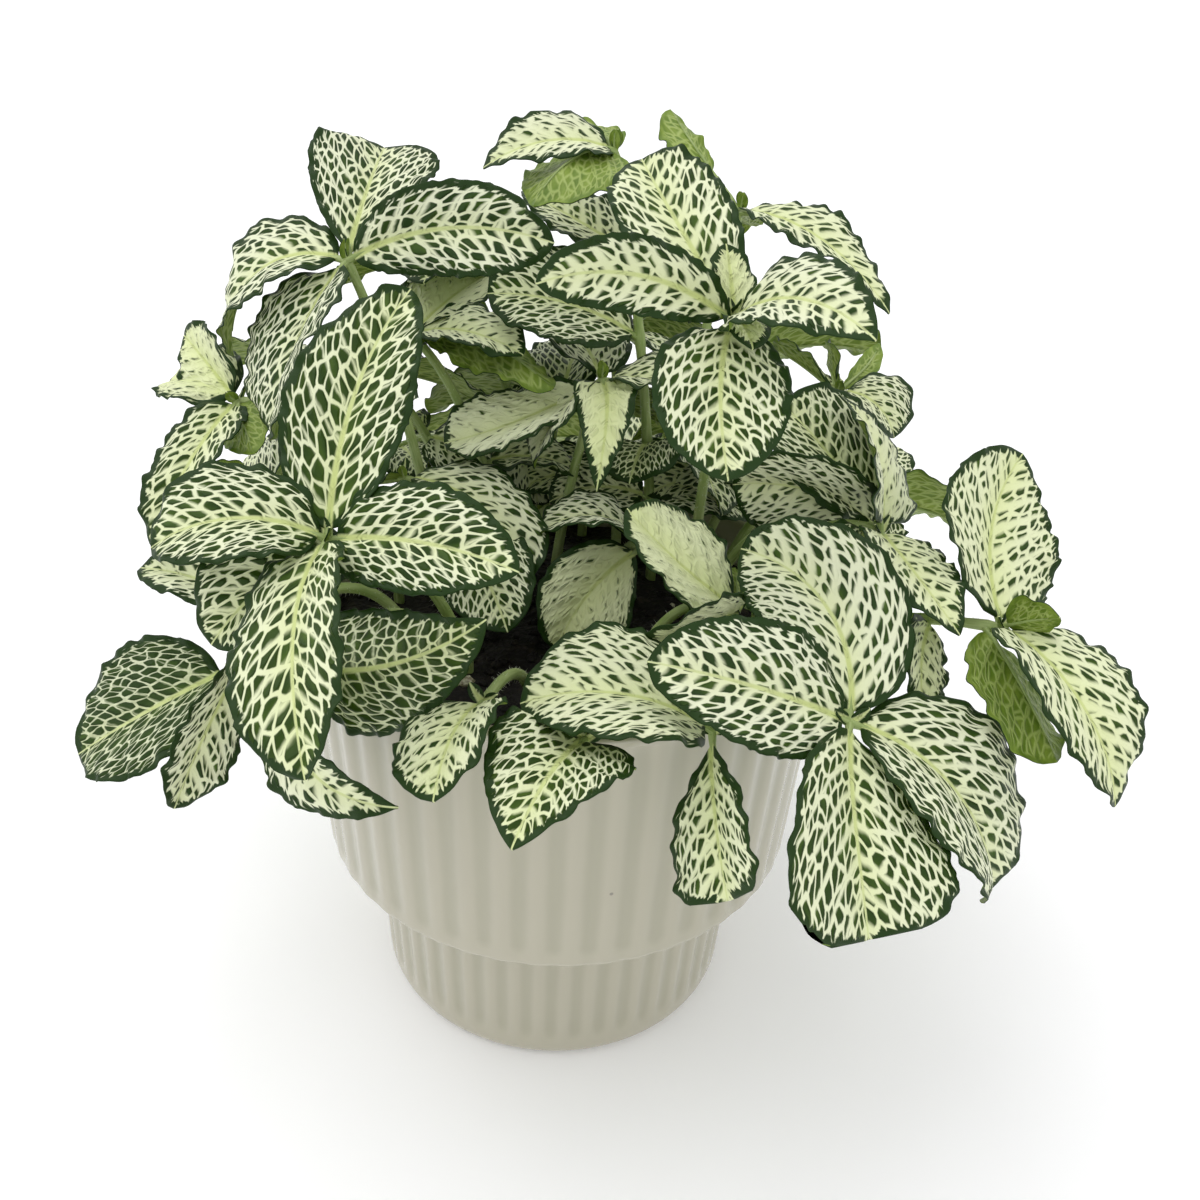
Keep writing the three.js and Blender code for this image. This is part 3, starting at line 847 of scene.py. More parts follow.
@dataclass
class Leaf:
    """A petiole and a folded, waved, drooping blade, with its net of veins."""

    plan: LeafPlan
    base: Array
    phase: float
    seed: int
    facing_point: tuple[float, float, float] = (0, 0, 50)
    petiole: float = 2.5
    new_length: float = 16.0
    new_petiole: float = 2.0
    fold: float = 14.0
    arch: float = 0.13
    thickness: float = 0.5
    edge_thickness: float = 0.26
    wave: float = 1.1
    full_length: float = 50.0
    wave_step: float = 2.1
    wave_width: float = 6.0
    stations: tuple[float, ...] = (0.03, 0.2, 0.42, 0.64, 0.85, 1)
    small_stations: tuple[float, ...] = (0.03, 0.25, 0.55, 0.82, 1)
    small_length: float = 42.0
    roundness: float = 1.12
    tip_half_width: float = 0.3
    row_step: float = 0.6
    half_columns: int = 12
    lateral_slope: float = 0.95
    lateral_curve: float = 0.22
    lateral_pitch: float = 3.5
    cell_aspect: float = 1.45
    under_detail: float = 0.55
    rib_detail: float = 0.5
    row_limits: tuple[int, int] = (18, 90)
    column_crowding: float = 1.25
    first_row: int = 30
    tooth: float = 0.26
    pucker: float = 0.20

    def outline(self, share: Array) -> Array:
        """Half width at a share of the length, as a share of the widest."""
        full = self.plan.full
        widest = full ** full * (1 - full) ** (1 - full)
        return (share ** full * (1 - share) ** (1 - full) / widest) ** self.roundness

    def middle_line(self, share: Array) -> tuple[Array, Array]:
        """Places and directions along the midrib.

        Args:
            share: places along the blade, from 0 to 1, evenly spaced.

        Returns:
            The places and the unit tangents.
        """
        plan = self.plan
        tangent = direction(plan.heading + plan.bend * share, plan.rise - plan.droop * share)
        between = (tangent[1:] + tangent[:-1]) / 2 * np.diff(share)[:, None] * plan.length
        stalk = self.new_petiole if plan.length < self.new_length else self.petiole
        start = self.base + direction(plan.heading, plan.rise) * stalk
        return start + np.concatenate([np.zeros((1, 3)), np.cumsum(between, axis=0)]), tangent

    def turned(self, tangent: Array) -> tuple[Array, Array]:
        """Unit vectors across the blade and out of its upper face, for given tangents."""
        facing = unit(self.base - np.array(self.facing_point, float))
        normal = unit(facing - tangent * (tangent @ facing)[:, None])
        across = np.cross(tangent, normal)
        roll = -math.radians(self.plan.roll)
        turned_across = across * math.cos(roll) - normal * math.sin(roll)
        return turned_across, normal * math.cos(roll) + across * math.sin(roll)

    def build(self, draft: Draft) -> None:
        """Add the leaf to its stem's piece."""
        plan = self.plan
        random = np.random.default_rng(self.seed)
        rows = int(np.clip(plan.length / self.row_step, *self.row_limits))
        share = np.linspace(0, 1, rows)
        middle, tangent = self.middle_line(share)
        across, normal = self.turned(tangent)
        place = np.linspace(-1, 1, 2 * self.half_columns + 1)
        place = np.sign(place) * (1 - (1 - np.abs(place)) ** self.column_crowding)
        v, t = place[None, :], np.abs(place)[None, :]
        x = share * plan.length
        small = plan.length < self.small_length
        stations = self.small_stations if small else self.stations
        number = np.interp(share, stations, np.arange(len(stations)))
        half = plan.width / 2 * self.outline(np.clip(share, 1e-4, 1 - 1e-4))
        half = np.maximum(half, np.interp(share, [0, 0.02, 1], [0.8, 0, self.tip_half_width]))
        ease = np.minimum(1, half / self.wave_width)
        phases = random.uniform(0, 2 * math.pi, 10)
        left = self.teeth(x, phases[0:3]) * ease * self.tooth
        right = self.teeth(x, phases[3:6]) * ease * self.tooth
        width = half[:, None] + np.where(v < 0, left[:, None], right[:, None]) * t ** 2
        wave = self.wave * plan.length / self.full_length * ease
        wave = wave * np.sin(number * self.wave_step + self.phase)
        slope = math.radians(self.fold)
        flat_y = v * width
        rise = width * math.sin(slope) * (t + self.arch * np.sin(math.pi * t) * 2)
        height = rise + wave[:, None] * v * t
        row, cell = self.vein_place(x, flat_y, t)
        swell = np.cos(math.pi * (row - FIRST_LATERAL)) * np.sin(math.pi * t) ** 0.7
        height = height - self.pucker * swell * ease[:, None]
        height = height + self.crinkle(x, v, phases) * ease[:, None]
        reach = flat_y * math.cos(slope)
        centre = middle[:, None] + across[:, None] * reach[..., None]
        centre = centre + normal[:, None] * height[..., None]
        deep = self.thickness + (self.edge_thickness - self.thickness) * t ** 2
        deep = deep * np.ones((rows, 1))
        lift = normal[:, None] * deep[..., None] / 2
        edge = self.edge_distance(x, half, left, right, flat_y)
        told = {
            "vein": np.stack([row, cell, flat_y], axis=-1),
            "leaf": np.stack([edge, np.repeat(share[:, None], v.size, 1),
                              np.full_like(edge, plan.pale)], axis=-1),
            "sort": np.zeros((rows, v.size, 3)) + (self.seed % 97, random.uniform(0, 1), 0),
        }
        self.add_sheets(draft, centre + lift, centre - lift, flat_y, x, told)
        self.add_stalk(draft, middle, across, normal)

    @staticmethod
    def teeth(x: Array, phases: Array) -> Array:
        """Small irregular teeth along the margin, between about -1 and 1."""
        slow = np.sin(x * 0.55 + phases[0])
        return (np.sin(x * 2.15 + phases[1] + slow * 1.5) * 0.6
                + np.sin(x * 1.25 + phases[2]) * 0.6) * (0.65 + 0.35 * slow)

    @staticmethod
    def crinkle(x: Array, v: Array, phases: Array) -> Array:
        """Small ruffles towards the margin, in millimetres."""
        sided = np.where(v < 0, 0.0, 2.4)
        t = np.abs(v)
        column = x[:, None]
        ruffle = 0.55 * np.sin(column * 0.82 + phases[6] + sided) \
            + 0.32 * np.sin(column * 1.45 + phases[7] - sided * 1.7)
        swell = 0.30 * np.sin(column * 0.37 + phases[8] + sided * 0.7 + 2.2 * t)
        return ruffle * t ** 3 + swell * t

    def vein_place(self, x: Array, flat_y: Array, t: Array) -> tuple[Array, Array]:
        """Each point's place in the net.

        Args:
            x: distance along the midrib of each row of points.
            flat_y: distance across the blade of each point.
            t: share of the half width at which each column lies.

        Returns:
            The number of the row of cells, counted along the leaf, and the number of the cell,
            counted out from the midrib.
        """
        out = np.abs(flat_y)
        slope, curve = self.lateral_slope, self.lateral_curve
        pitch = self.lateral_pitch * (self.plan.length / self.full_length) ** 0.5
        row = (x[:, None] - out * (slope + curve * t ** 2)) / pitch + self.first_row
        crowding = 1 + slope ** 2 + 2 * slope * curve * t ** 2 + 1.8 * curve ** 2 * t ** 4
        return row, out * crowding / (pitch * self.cell_aspect)

    @staticmethod
    def edge_distance(x: Array, half: Array, left: Array, right: Array, flat_y: Array) -> Array:
        """Distance of each point from the margin, in millimetres.

        Args:
            x: distance along the midrib of each row of points.
            half: half width at each row.
            left: what the margin's teeth add on the first side.
            right: what they add on the other side.
            flat_y: distance across the blade of each point.

        Returns:
            The distances.
        """
        middle = flat_y.shape[1] // 2
        nearest = np.zeros_like(flat_y)
        for columns, teeth in ((slice(0, middle + 1), left), (slice(middle, None), right)):
            side = np.abs(flat_y[:, columns])
            ends = np.stack([x, half + teeth], axis=-1)
            a, b = ends[:-1], ends[1:]
            points = np.stack([np.repeat(x[:, None], side.shape[1], 1), side], axis=-1)
            offset = points[:, :, None] - a
            along = b - a
            share = np.clip((offset * along).sum(-1) / (along * along).sum(-1), 0, 1)
            gap = np.linalg.norm(offset - share[..., None] * along, axis=-1).min(axis=-1)
            nearest[:, columns] = gap
        return nearest

    def add_sheets(
        self, draft: Draft, upper: Array, under: Array, flat_y: Array, x: Array,
        told: dict[str, Array],
    ) -> None:
        """Add both faces of the blade and the strip round its margin.

        Args:
            draft: the stem's piece.
            upper: points of the upper face, row by row.
            under: points of the underside, likewise.
            flat_y: distance of each point from the midrib, flat.
            x: distance of each row from the base.
            told: what the points carry for their finish.
        """
        rows, columns = flat_y.shape
        first = draft.add_points(upper, **told)
        second = draft.add_points(under, **told)
        wide = float(flat_y.max() - flat_y.min())
        across = flat_y - flat_y.min()
        along = np.repeat(x[:, None], columns, 1)
        above = draft.add_patch(wide, float(x[-1]))
        top_flat = grid_flat(across, along)
        quads = grid_faces(rows, columns, first)
        draft.add_faces(quads[:, ::-1], LeafFinish.UPPER.value, above, top_flat[:, ::-1])
        small = self.under_detail
        below = draft.add_patch(wide * small, float(x[-1]) * small)
        quads = grid_faces(rows, columns, second)
        draft.add_faces(quads, LeafFinish.UNDER.value, below, top_flat * small)
        numbers = np.arange(rows * columns).reshape(rows, columns)
        rim = np.concatenate([
            numbers[:, 0], numbers[-1, 1:], numbers[-2::-1, -1], numbers[0, -2:0:-1],
        ])
        following = np.roll(rim, -1)
        strip = np.stack([rim + first, following + first, following + second, rim + second],
                         axis=-1)
        flat = np.stack([across.ravel(), along.ravel()], axis=-1)
        corners = np.stack([flat[rim], flat[following], flat[following], flat[rim]], axis=1)
        draft.add_faces(strip, LeafFinish.UPPER.value, above, corners)

    def add_stalk(self, draft: Draft, middle: Array, across: Array, normal: Array) -> None:
        """Add the petiole, which runs on as the raised midrib of the underside.

        Args:
            draft: the stem's piece.
            middle: points along the midrib.
            across: unit vectors across the blade.
            normal: unit vectors out of its upper face.
        """
        length = self.plan.length
        size = min(1.0, 0.45 + length / 70)
        steps = np.linspace(0, 1, 5)[:-1]
        stalk = self.base + (middle[0] - self.base) * steps[:, None]
        keep = slice(0, int(len(middle) * 0.86), 2)
        share = np.linspace(0, 1, len(middle))[keep]
        radii = size * np.interp(share, [0, 0.1, 0.5, 1], [0.82, 0.62, 0.36, 0.10])
        sunk = normal[keep] * (self.thickness / 2 + radii * 0.25)[:, None]
        entry = np.interp(share, [0, 0.06], [0.15, 1.0])
        keel = middle[keep] - sunk * entry[:, None]
        middles = np.concatenate([stalk, keel])
        sizes = np.concatenate([size * np.interp(steps, [0, 1], [1.08, 0.86]), radii])
        sideways = np.concatenate([np.repeat(across[:1], len(stalk), 0), across[keep]])
        upward = np.concatenate([np.repeat(normal[:1], len(stalk), 0), normal[keep]])
        add_tube(draft, middles, sideways, upward, sizes, 8, LeafFinish.STEM.value,
                 float(self.seed % 31), self.rib_detail)


# ------------------------------------------------------------------------------ stems


@dataclass(frozen=True)
class StemPlan:
    """One leafy stem: where it leaves the soil, its crown, the height of its bend, its leaves."""

    root: tuple[float, float]
    crown: tuple[float, float, float]
    bend: float
    leaves: tuple[LeafPlan, ...]


def stem_plan(
    root: tuple[float, float], crown: tuple[float, float, float], bend: float,
    *leaves: tuple[float, ...],
) -> StemPlan:
    """A stem's plan whose leaves are given as plain rows, in the order of LeafPlan's fields."""
    return StemPlan(root, crown, bend, tuple(LeafPlan(*leaf) for leaf in leaves))


SHOWN_STEMS = {
    "stem_front_left": stem_plan(
        (-24, -26), (-51, -49, 159), 152,
        (1, 87, 57, 59, 28, 25, -25, -30, 0.3, 0.46),
        (1, 198, 35, 36, 27, 75, 5, -15, 0.42, 0.49),
        (1, 340, 17, 42, 26, 30, -10, 0, 0.38, 0.41),
        (1, 262, 1, 58, 27, 45, -5, 30, 0.4, 0.5),
        (0.85, 211, -3, 36, 27, 50, 25, 0, 0.45, 0.48)),
    "stem_left_rim": stem_plan(
        (-28, -32), (-56, -45, 124), 150,
        (1, 321, 20, 54, 31, -25, -45, 15, 0.22, 0.27),
        (1, 250, -17, 52, 24, -20, -25, 105, 0.6, 0.2)),
    "stem_left_low": stem_plan(
        (-38, -18), (-80, -35, 116), 152,
        (1, 194, -25, 44, 36, 15, 15, -20, 0.15, 0.44),
        (0.94, 247, -33, 37, 22, 20, 115, -5, 0.6, 0.53),
        (0.8, 169, 32, 34, 18, 40, -20, -5, 0.65, 0.5)),
    "stem_left_high": stem_plan(
        (-34, 10), (-56, 15, 202), 168,
        (1, 77, 48, 38, 33, 35, -30, 10, 0.45, 0.71),
        (1, 341, 31, 55, 22, 40, -85, -10, 0.45, 0.54),
        (1, 171, 10, 47, 27, 105, 30, -5, 0.5, 0.45),
        (1, 236, -33, 45, 42, 45, 5, 0, 0.4, 0.56)),
    "stem_left_back": stem_plan(
        (-46, 8), (-86, 15, 165), 170,
        (1, 259, -5, 46, 19, 50, 35, -15, 0.5, 0.42),
        (1, 141, 17, 29, 23, 50, 5, 5, 0.9, 0.45),
        (1, 137, 30, 27, 20, 20, 40, -10, 0.9, 0.45),
        (1, 287, 2, 21, 17, 35, 180, 15, 0.5, 0.35)),
    "stem_under_left": stem_plan(
        (-22, 2), (-42, 0, 152), 146,
        (1, 348, 3, 41, 28, 80, 10, -15, 0.62, 0.44),
        (1, 215, 10, 32, 22, 45, 0, 0, 0.55, 0.45),
        (0.4, 296, -3, 32, 26, 35, 0, 0, 0.45, 0.45)),
    "stem_middle_left": stem_plan(
        (-16, 14), (-44, 36, 178), 166,
        (1, 329, 21, 34, 23, 40, -15, 0, 0.75, 0.41),
        (1, 340, 11, 43, 21, 40, 175, -20, 0.8, 0.47),
        (1, 53, 26, 37, 28, 30, -20, 20, 0.95, 0.42)),
    "stem_front": stem_plan(
        (4, -42), (5, -73, 127), 131,
        (1, 247, 20, 36, 30, 40, -20, 5, 0.45, 0.29)),
    "stem_front_middle": stem_plan(
        (-8, -38), (-17, -64, 129), 131,
        (1, 252, 22, 33, 24, 45, -20, 15, 0.7, 0.49)),
    "stem_front_hanging": stem_plan(
        (26, -42), (32, -69, 127), 134,
        (1, 180, 37, 41, 38, 62, -35, 0, 0.68, 0.41),
        (1, 268, -29, 33, 25, 10, -70, 15, 0.62, 0.79)),
    "stem_heart": stem_plan(
        (12, 6), (19, 2, 134), 138,
        (1, 185, 56, 30, 24, 105, -5, 5, 0.6, 0.44),
        (1, 214, -18, 34, 27, 30, 40, 25, 0.95, 0.6),
        (1, 76, -3, 22, 24, 60, 10, 0, 0.6, 0.45)),
    "stem_heart_right": stem_plan(
        (18, -26), (41, -29, 134), 140,
        (1, 172, 33, 34, 30, -10, 0, -15, 1, 0.47),
        (1, 234, 14, 31, 28, 25, 80, -30, 0.95, 0.55),
        (1, 88, 24, 13, 14, 20, 180, 0, 0.6, 0.45)),
    "stem_middle": stem_plan(
        (-4, 16), (7, 23, 172), 150,
        (1, 279, 3, 36, 17, 70, -15, -25, 1, 0.2),
        (1, 211, -19, 28, 20, 55, -5, 15, 0.8, 0.46),
        (1, 200, -27, 42, 25, -15, 25, -10, 0.9, 0.65),
        (1, 344, 12, 30, 27, 30, -10, 0, 0.6, 0.45),
        (1, 108, 22, 29, 25, 30, 0, 0, 0.6, 0.45)),
    "stem_top": stem_plan(
        (24, 26), (8, 40, 226), 180,
        (1, 209, 20, 34, 20, 55, 35, -15, 0.75, 0.33),
        (1, 125, 29, 23, 20, 40, 195, 0, 0.5, 0.48),
        (1, 232, 11, 32, 31, 60, 185, 0, 0.7, 0.36),
        (0.75, 140, 17, 37, 23, 5, 25, 0, 0.6, 0.37),
        (0.55, 186, 32, 40, 32, 35, 50, 0, 0.45, 0.56),
        (0.3, 255, 15, 19, 27, 55, -15, 0, 0.35, 0.45)),
    "stem_right_high": stem_plan(
        (34, 14), (33, -26, 203), 168,
        (1, 128, 41, 50, 26, 25, 30, -25, 0.55, 0.55),
        (1, 200, 36, 48, 16, 45, 65, 20, 0.6, 0.51),
        (1, 299, 39, 42, 23, 60, -40, 5, 0.6, 0.31),
        (1, 253, -22, 38, 29, 25, -15, 30, 0.5, 0.51),
        (1, 100, 60, 15, 12, 10, 0, 5, 0.95, 0.41),
        (1, 282, 14, 12, 11, 50, 0, 0, 1, 0.45)),
    "stem_back_high": stem_plan(
        (28, 35), (42, 49, 211), 180,
        (1, 305, 10, 53, 19, 55, -30, 15, 0.62, 0.37),
        (1, 141, 41, 36, 15, 15, 195, -30, 0.4, 0.52),
        (1, 95, -18, 39, 26, 5, 0, 20, 0.5, 0.45),
        (0.27, 292, 8, 27, 27, 55, 0, 0, 0.4, 0.45)),
    "stem_front_right": stem_plan(
        (46, -22), (62, -65, 128), 150,
        (1, 82, 44, 52, 36, 45, 25, 70, 0.62, 0.5),
        (1, 196, 31, 49, 29, 15, 5, -5, 0.5, 0.46),
        (1, 341, -7, 49, 42, 70, 10, -20, 0.5, 0.52),
        (1, 258, -5, 46, 40, 50, -10, 25, 0.5, 0.75)),
    "stem_right_middle": stem_plan(
        (40, 14), (80, 1, 143), 152,
        (1, 185, 40, 40, 31, 50, 110, -5, 0.65, 0.58),
        (1, 150, 50, 39, 34, 20, 45, -5, 0.45, 0.6)),
    "stem_right_edge": stem_plan(
        (52, 4), (78, -8, 146), 152,
        (1, 268, 14, 41, 21, 45, -30, 35, 0.65, 0.39),
        (1, 86, 64, 36, 28, 35, 0, 55, 0.8, 0.2),
        (0.9, 250, -12, 32, 24, 30, 0, 0, 0.6, 0.45)),
    "stem_right_back": stem_plan(
        (38, 32), (73, 39, 166), 158,
        (1, 324, 12, 20, 26, 80, -40, -10, 0.6, 0.45),
        (1, 89, 16, 22, 18, 35, -35, -5, 0.6, 0.45),
        (1, 34, 24, 21, 7, 0, 190, 35, 0.6, 0.47),
        (1, 125, 17, 26, 20, 20, 0, -10, 0.6, 0.45)),
    "stem_far_right": stem_plan(
        (48, -10), (101, -39, 138), 132,
        (1, 97, 29, 51, 36, 0, 20, -50, 0.68, 0.39),
        (1, 294, 5, 48, 32, 80, -25, 20, 0.66, 0.35),
        (1, 313, 41, 13, 12, 15, 0, 0, 0.7, 0.45),
        (0.95, 284, -14, 34, 26, 30, 165, 15, 0.5, 0.52),
        (0.8, 242, -7, 26, 16, 45, -5, 35, 0.7, 0.44)),
}


@dataclass
class LeafyStem:
    """A round, finely haired stem with its leaves and the bud at its crown."""

    name: str
    plan: StemPlan
    number: int
    box: tuple[Array, Array]
    soil_height: float = 112.0
    root_depth: float = 13.5
    stub_height: float = 3.0
    bend_share: float = 0.3
    radius: float = 1.45
    crown_radius: float = 1.15
    sides: int = 14
    stem_phase: float = 1.7
    leaf_phase: float = 2.3
    hair_density: float = 2.6
    hair_length: float = 1.0
    hair_root: float = 0.05
    bud_length: float = 5.0
    ring_step: float = 2.2
    node_swelling: float = 0.25
    hair_seed: int = 9000
    bud_seed: int = 7000

    def curve(self, share: Array | float) -> tuple[Array, Array]:
        """Places and directions along the free part of the stem.

        Args:
            share: how far up, from 0 to 1.

        Returns:
            The places and the unit tangents.
        """
        top = np.array(self.plan.crown, float)
        foot = np.array([*self.plan.root, self.soil_height + self.stub_height], float)
        knee = foot + (top - foot) * self.bend_share
        knee[2] = self.plan.bend
        t = np.asarray(share, float)[..., None]
        place = foot * (1 - t) ** 2 + knee * 2 * t * (1 - t) + top * t ** 2
        way = (knee - foot) * (1 - t) + (top - knee) * t
        return place, unit(way)

    def build(self, finishes: list[bpy.types.Material]) -> bpy.types.Object:
        """Make the piece that stands for the stem's solid."""
        draft = Draft(("vein", "leaf", "sort", "stalk"))
        self.add_stem(draft)
        for order, plan in enumerate(self.plan.leaves):
            base, _ = self.curve(plan.share)
            phase = self.number * self.stem_phase + order * self.leaf_phase
            Leaf(plan, base, phase, 100 * self.number + order + 1).build(draft)
        self.add_bud(draft)
        draft.points = [np.clip(points, *self.box) for points in draft.points]
        return draft.piece(f"{self.name}_leafy", finishes, self.name)

    def add_stem(self, draft: Draft) -> None:
        """Add the stem and its hairs."""
        length = np.linalg.norm(np.diff(self.curve(np.linspace(0, 1, 30))[0], axis=0), axis=1)
        steps = max(12, int(length.sum() / self.ring_step))
        share = np.linspace(0, 1, steps)
        place, tangent = self.curve(share)
        down = np.linspace(self.soil_height - self.root_depth, place[0, 2] - 1.5, 5)
        stub = np.stack([np.full(5, place[0, 0]), np.full(5, place[0, 1]), down], axis=-1)
        middles = np.concatenate([stub, place])
        ways = np.concatenate([np.tile((0.0, 0.0, 1.0), (5, 1)), tangent])
        lean = math.atan2(self.plan.crown[1] - self.plan.root[1],
                          self.plan.crown[0] - self.plan.root[0])
        sideways = np.tile((-math.sin(lean), math.cos(lean), 0.0), (len(middles), 1))
        upward = unit(np.cross(sideways, ways))
        swelling = np.zeros(steps)
        for leaf in {plan.share for plan in self.plan.leaves}:
            swelling += np.exp(-((share - leaf) * length.sum() / self.ring_step) ** 2)
        taper = self.radius + (self.crown_radius - self.radius) * share
        radii = np.concatenate([np.full(5, self.radius), taper + self.node_swelling * swelling])
        radii[-1] *= 0.6
        add_tube(draft, middles, sideways, upward, radii, self.sides,
                 LeafFinish.STEM.value, float(self.number))
        self.add_hairs(draft, length.sum())

    def add_hairs(self, draft: Draft, length: float) -> None:
        """Add the short hairs, as three-sided spikes."""
        random = np.random.default_rng(self.hair_seed + self.number)
        count = int(length * self.hair_density)
        share = random.uniform(0.02, 0.97, count)
        place, tangent = self.curve(share)
        lean = unit(random.normal(size=(count, 3)))
        out = unit(lean - tangent * (lean * tangent).sum(1)[:, None])
        radius = self.radius + (self.crown_radius - self.radius) * share - 0.1
        root = place + out * radius[:, None]
        long = self.hair_length * random.uniform(0.5, 1.3, count)
        tip = root + unit(out + 0.4 * lean + 0.3 * tangent) * long[:, None]
        other = np.cross(out, tangent)
        angles = np.array([0.5, 2.594, 4.689])
        spread = tangent[:, None] * np.cos(angles)[:, None] + other[:, None] \
            * np.sin(angles)[:, None]
        feet = root[:, None] + spread * self.hair_root
        points = np.concatenate([feet, tip[:, None]], axis=1)
        told = np.zeros((count, 4, 3))
        told[:, 3, 0] = 1
        told[..., 2] = self.number
        first = draft.add_points(points, stalk=told)
        start = first + 4 * np.arange(count)[:, None]
        sides = np.array([[1, 0, 3], [2, 1, 3], [0, 2, 3]])
        faces = (start[:, None] + sides[None]).reshape(-1, 3)
        patch = draft.add_patch(2.0, 2.0)
        flat = np.tile(np.array([[0.2, 0.2], [1.8, 0.2], [1.0, 1.8]]), (len(faces), 1, 1))
        draft.add_faces(faces, LeafFinish.HAIR.value, patch, flat)

    def add_bud(self, draft: Draft) -> None:
        """Add the folded pair of leaves that is just opening at the crown."""
        base, tangent = self.curve(1.0)
        lean = math.degrees(math.atan2(tangent[1], tangent[0]))
        rise = max(35.0, math.degrees(math.asin(float(tangent[2]))) * 0.5 + 40)
        for order, side in enumerate((75, 255)):
            plan = LeafPlan(1, lean + side, rise, self.bud_length, self.bud_length * 0.62,
                            -20, pale=0.75)
            seed = self.bud_seed + 10 * self.number + order
            Leaf(plan, base, self.number + order, seed, new_petiole=0.4).build(draft)


@dataclass
class Plant:
    """All the leafy stems: those towards the front, and those of the far side."""

    pairs: int = 2
    pair_gap: float = 0.04
    pair_rise: float = 32
    pair_fall: float = 18
    pair_variety: float = 0.08
    pair_droop: float = 50
    pair_aspect: float = 0.76
    inner_droop: float = 60
    inner_aspect: float = 0.82

    def far_side(self) -> dict[str, StemPlan]:
        """The stems of the far side, whose leaves grow in opposite pairs."""
        places = {
            "stem_back_top_left": ((-14, 52), (-36, 72, 186), 184, 82, 34),
            "stem_back_middle": ((14, 36), (9, 70, 171), 178, 37, 36),
            "stem_back_left": ((-30, 34), (-66, 56, 160), 164, 75, 44),
            "stem_back": ((-8, 40), (-4, 70, 148), 150, 81, 38),
            "stem_back_right": ((24, 46), (48, 80, 158), 162, 0, 42),
            "stem_rim_left": ((-44, 26), (-92, 48, 120), 150, 30, 36),
            "stem_rim_back_left": ((-26, 50), (-60, 98, 118), 150, 112, 38),
            "stem_rim_back": ((4, 54), (20, 104, 118), 150, 70, 46),
            "stem_rim_right": ((46, 30), (92, 60, 122), 150, 70, 40),
        }
        return {
            name: StemPlan(root, crown, bend, self.paired(turn, size))
            for name, (root, crown, bend, turn, size) in places.items()
        }

    def paired(self, turn: float, size: float) -> tuple[LeafPlan, ...]:
        """Opposite pairs of leaves, each pair square to the one above it.

        Args:
            turn: heading of the upper pair.
            size: mean length of a leaf.

        Returns:
            The leaves' plans.
        """
        leaves = []
        for pair in range(self.pairs):
            for side in (0, 180):
                length = size * (1 + self.pair_variety * math.cos(turn + side + pair))
                leaves.append(LeafPlan(
                    1 - self.pair_gap * pair, turn + 90 * pair + side,
                    self.pair_rise - self.pair_fall * pair, length, self.pair_aspect * length,
                    self.pair_droop, pale=0.42 + 0.14 * pair))
        return tuple(leaves)

    def inner(self) -> dict[str, tuple[tuple[float, ...], ...]]:
        """Small leaves low on the stems, inside the bush.

        Returns:
            For a stem, each leaf's share, heading, rise, length, roll and paleness.
        """
        return {
            "stem_back_left": ((0.42, 320, 12, 26, -30, 0.6), (0.42, 140, 10, 24, 0, 0.6)),
            "stem_back_top_left": ((0.22, 205, 14, 27, 0, 0.55), (0.22, 290, 0, 26, 0, 0.7)),
            "stem_back": ((0.33, 190, 22, 27, 40, 0.6), (0.35, 350, 16, 26, -40, 0.7)),
            "stem_back_middle": ((0.18, 190, 25, 27, 45, 0.6), (0.20, 8, 25, 24, -40, 0.55)),
            "stem_back_right": ((0.34, 350, 12, 28, 0, 0.6),),
            "stem_middle_left": ((0.38, 12, 16, 27, -20, 0.6),),
            "stem_top": ((0.17, 350, 25, 29, -40, 0.55), (0.17, 185, 25, 27, 45, 0.5)),
            "stem_back_high": ((0.19, 345, 32, 28, -40, 0.6),),
            "stem_right_back": ((0.30, 196, 28, 24, 40, 0.6),),
        }

    def plans(self) -> dict[str, StemPlan]:
        """Every stem with all its leaves."""
        plans = {**SHOWN_STEMS, **self.far_side()}
        for name, rows in self.inner().items():
            added = tuple(
                LeafPlan(share, heading, rise, length, length * self.inner_aspect,
                         self.inner_droop, roll, pale=pale)
                for share, heading, rise, length, roll, pale in rows
            )
            plans[name] = replace(plans[name], leaves=plans[name].leaves + added)
        return plans

    def build(self, box: tuple[Array, Array]) -> list[bpy.types.Object]:
        """Make every leafy stem.

        Args:
            box: the two corners of the box that no leaf's tip may leave, in millimetres.

        Returns:
            The pieces.
        """
        finishes = [LeafUpper().material(), LeafUnder().material(), StemSkin().material(),
                    StemHair().material()]
        return [
            LeafyStem(name, plan, number, box).build(finishes)
            for number, (name, plan) in enumerate(self.plans().items())
        ]


# ------------------------------------------------------------------------------ pot and soil


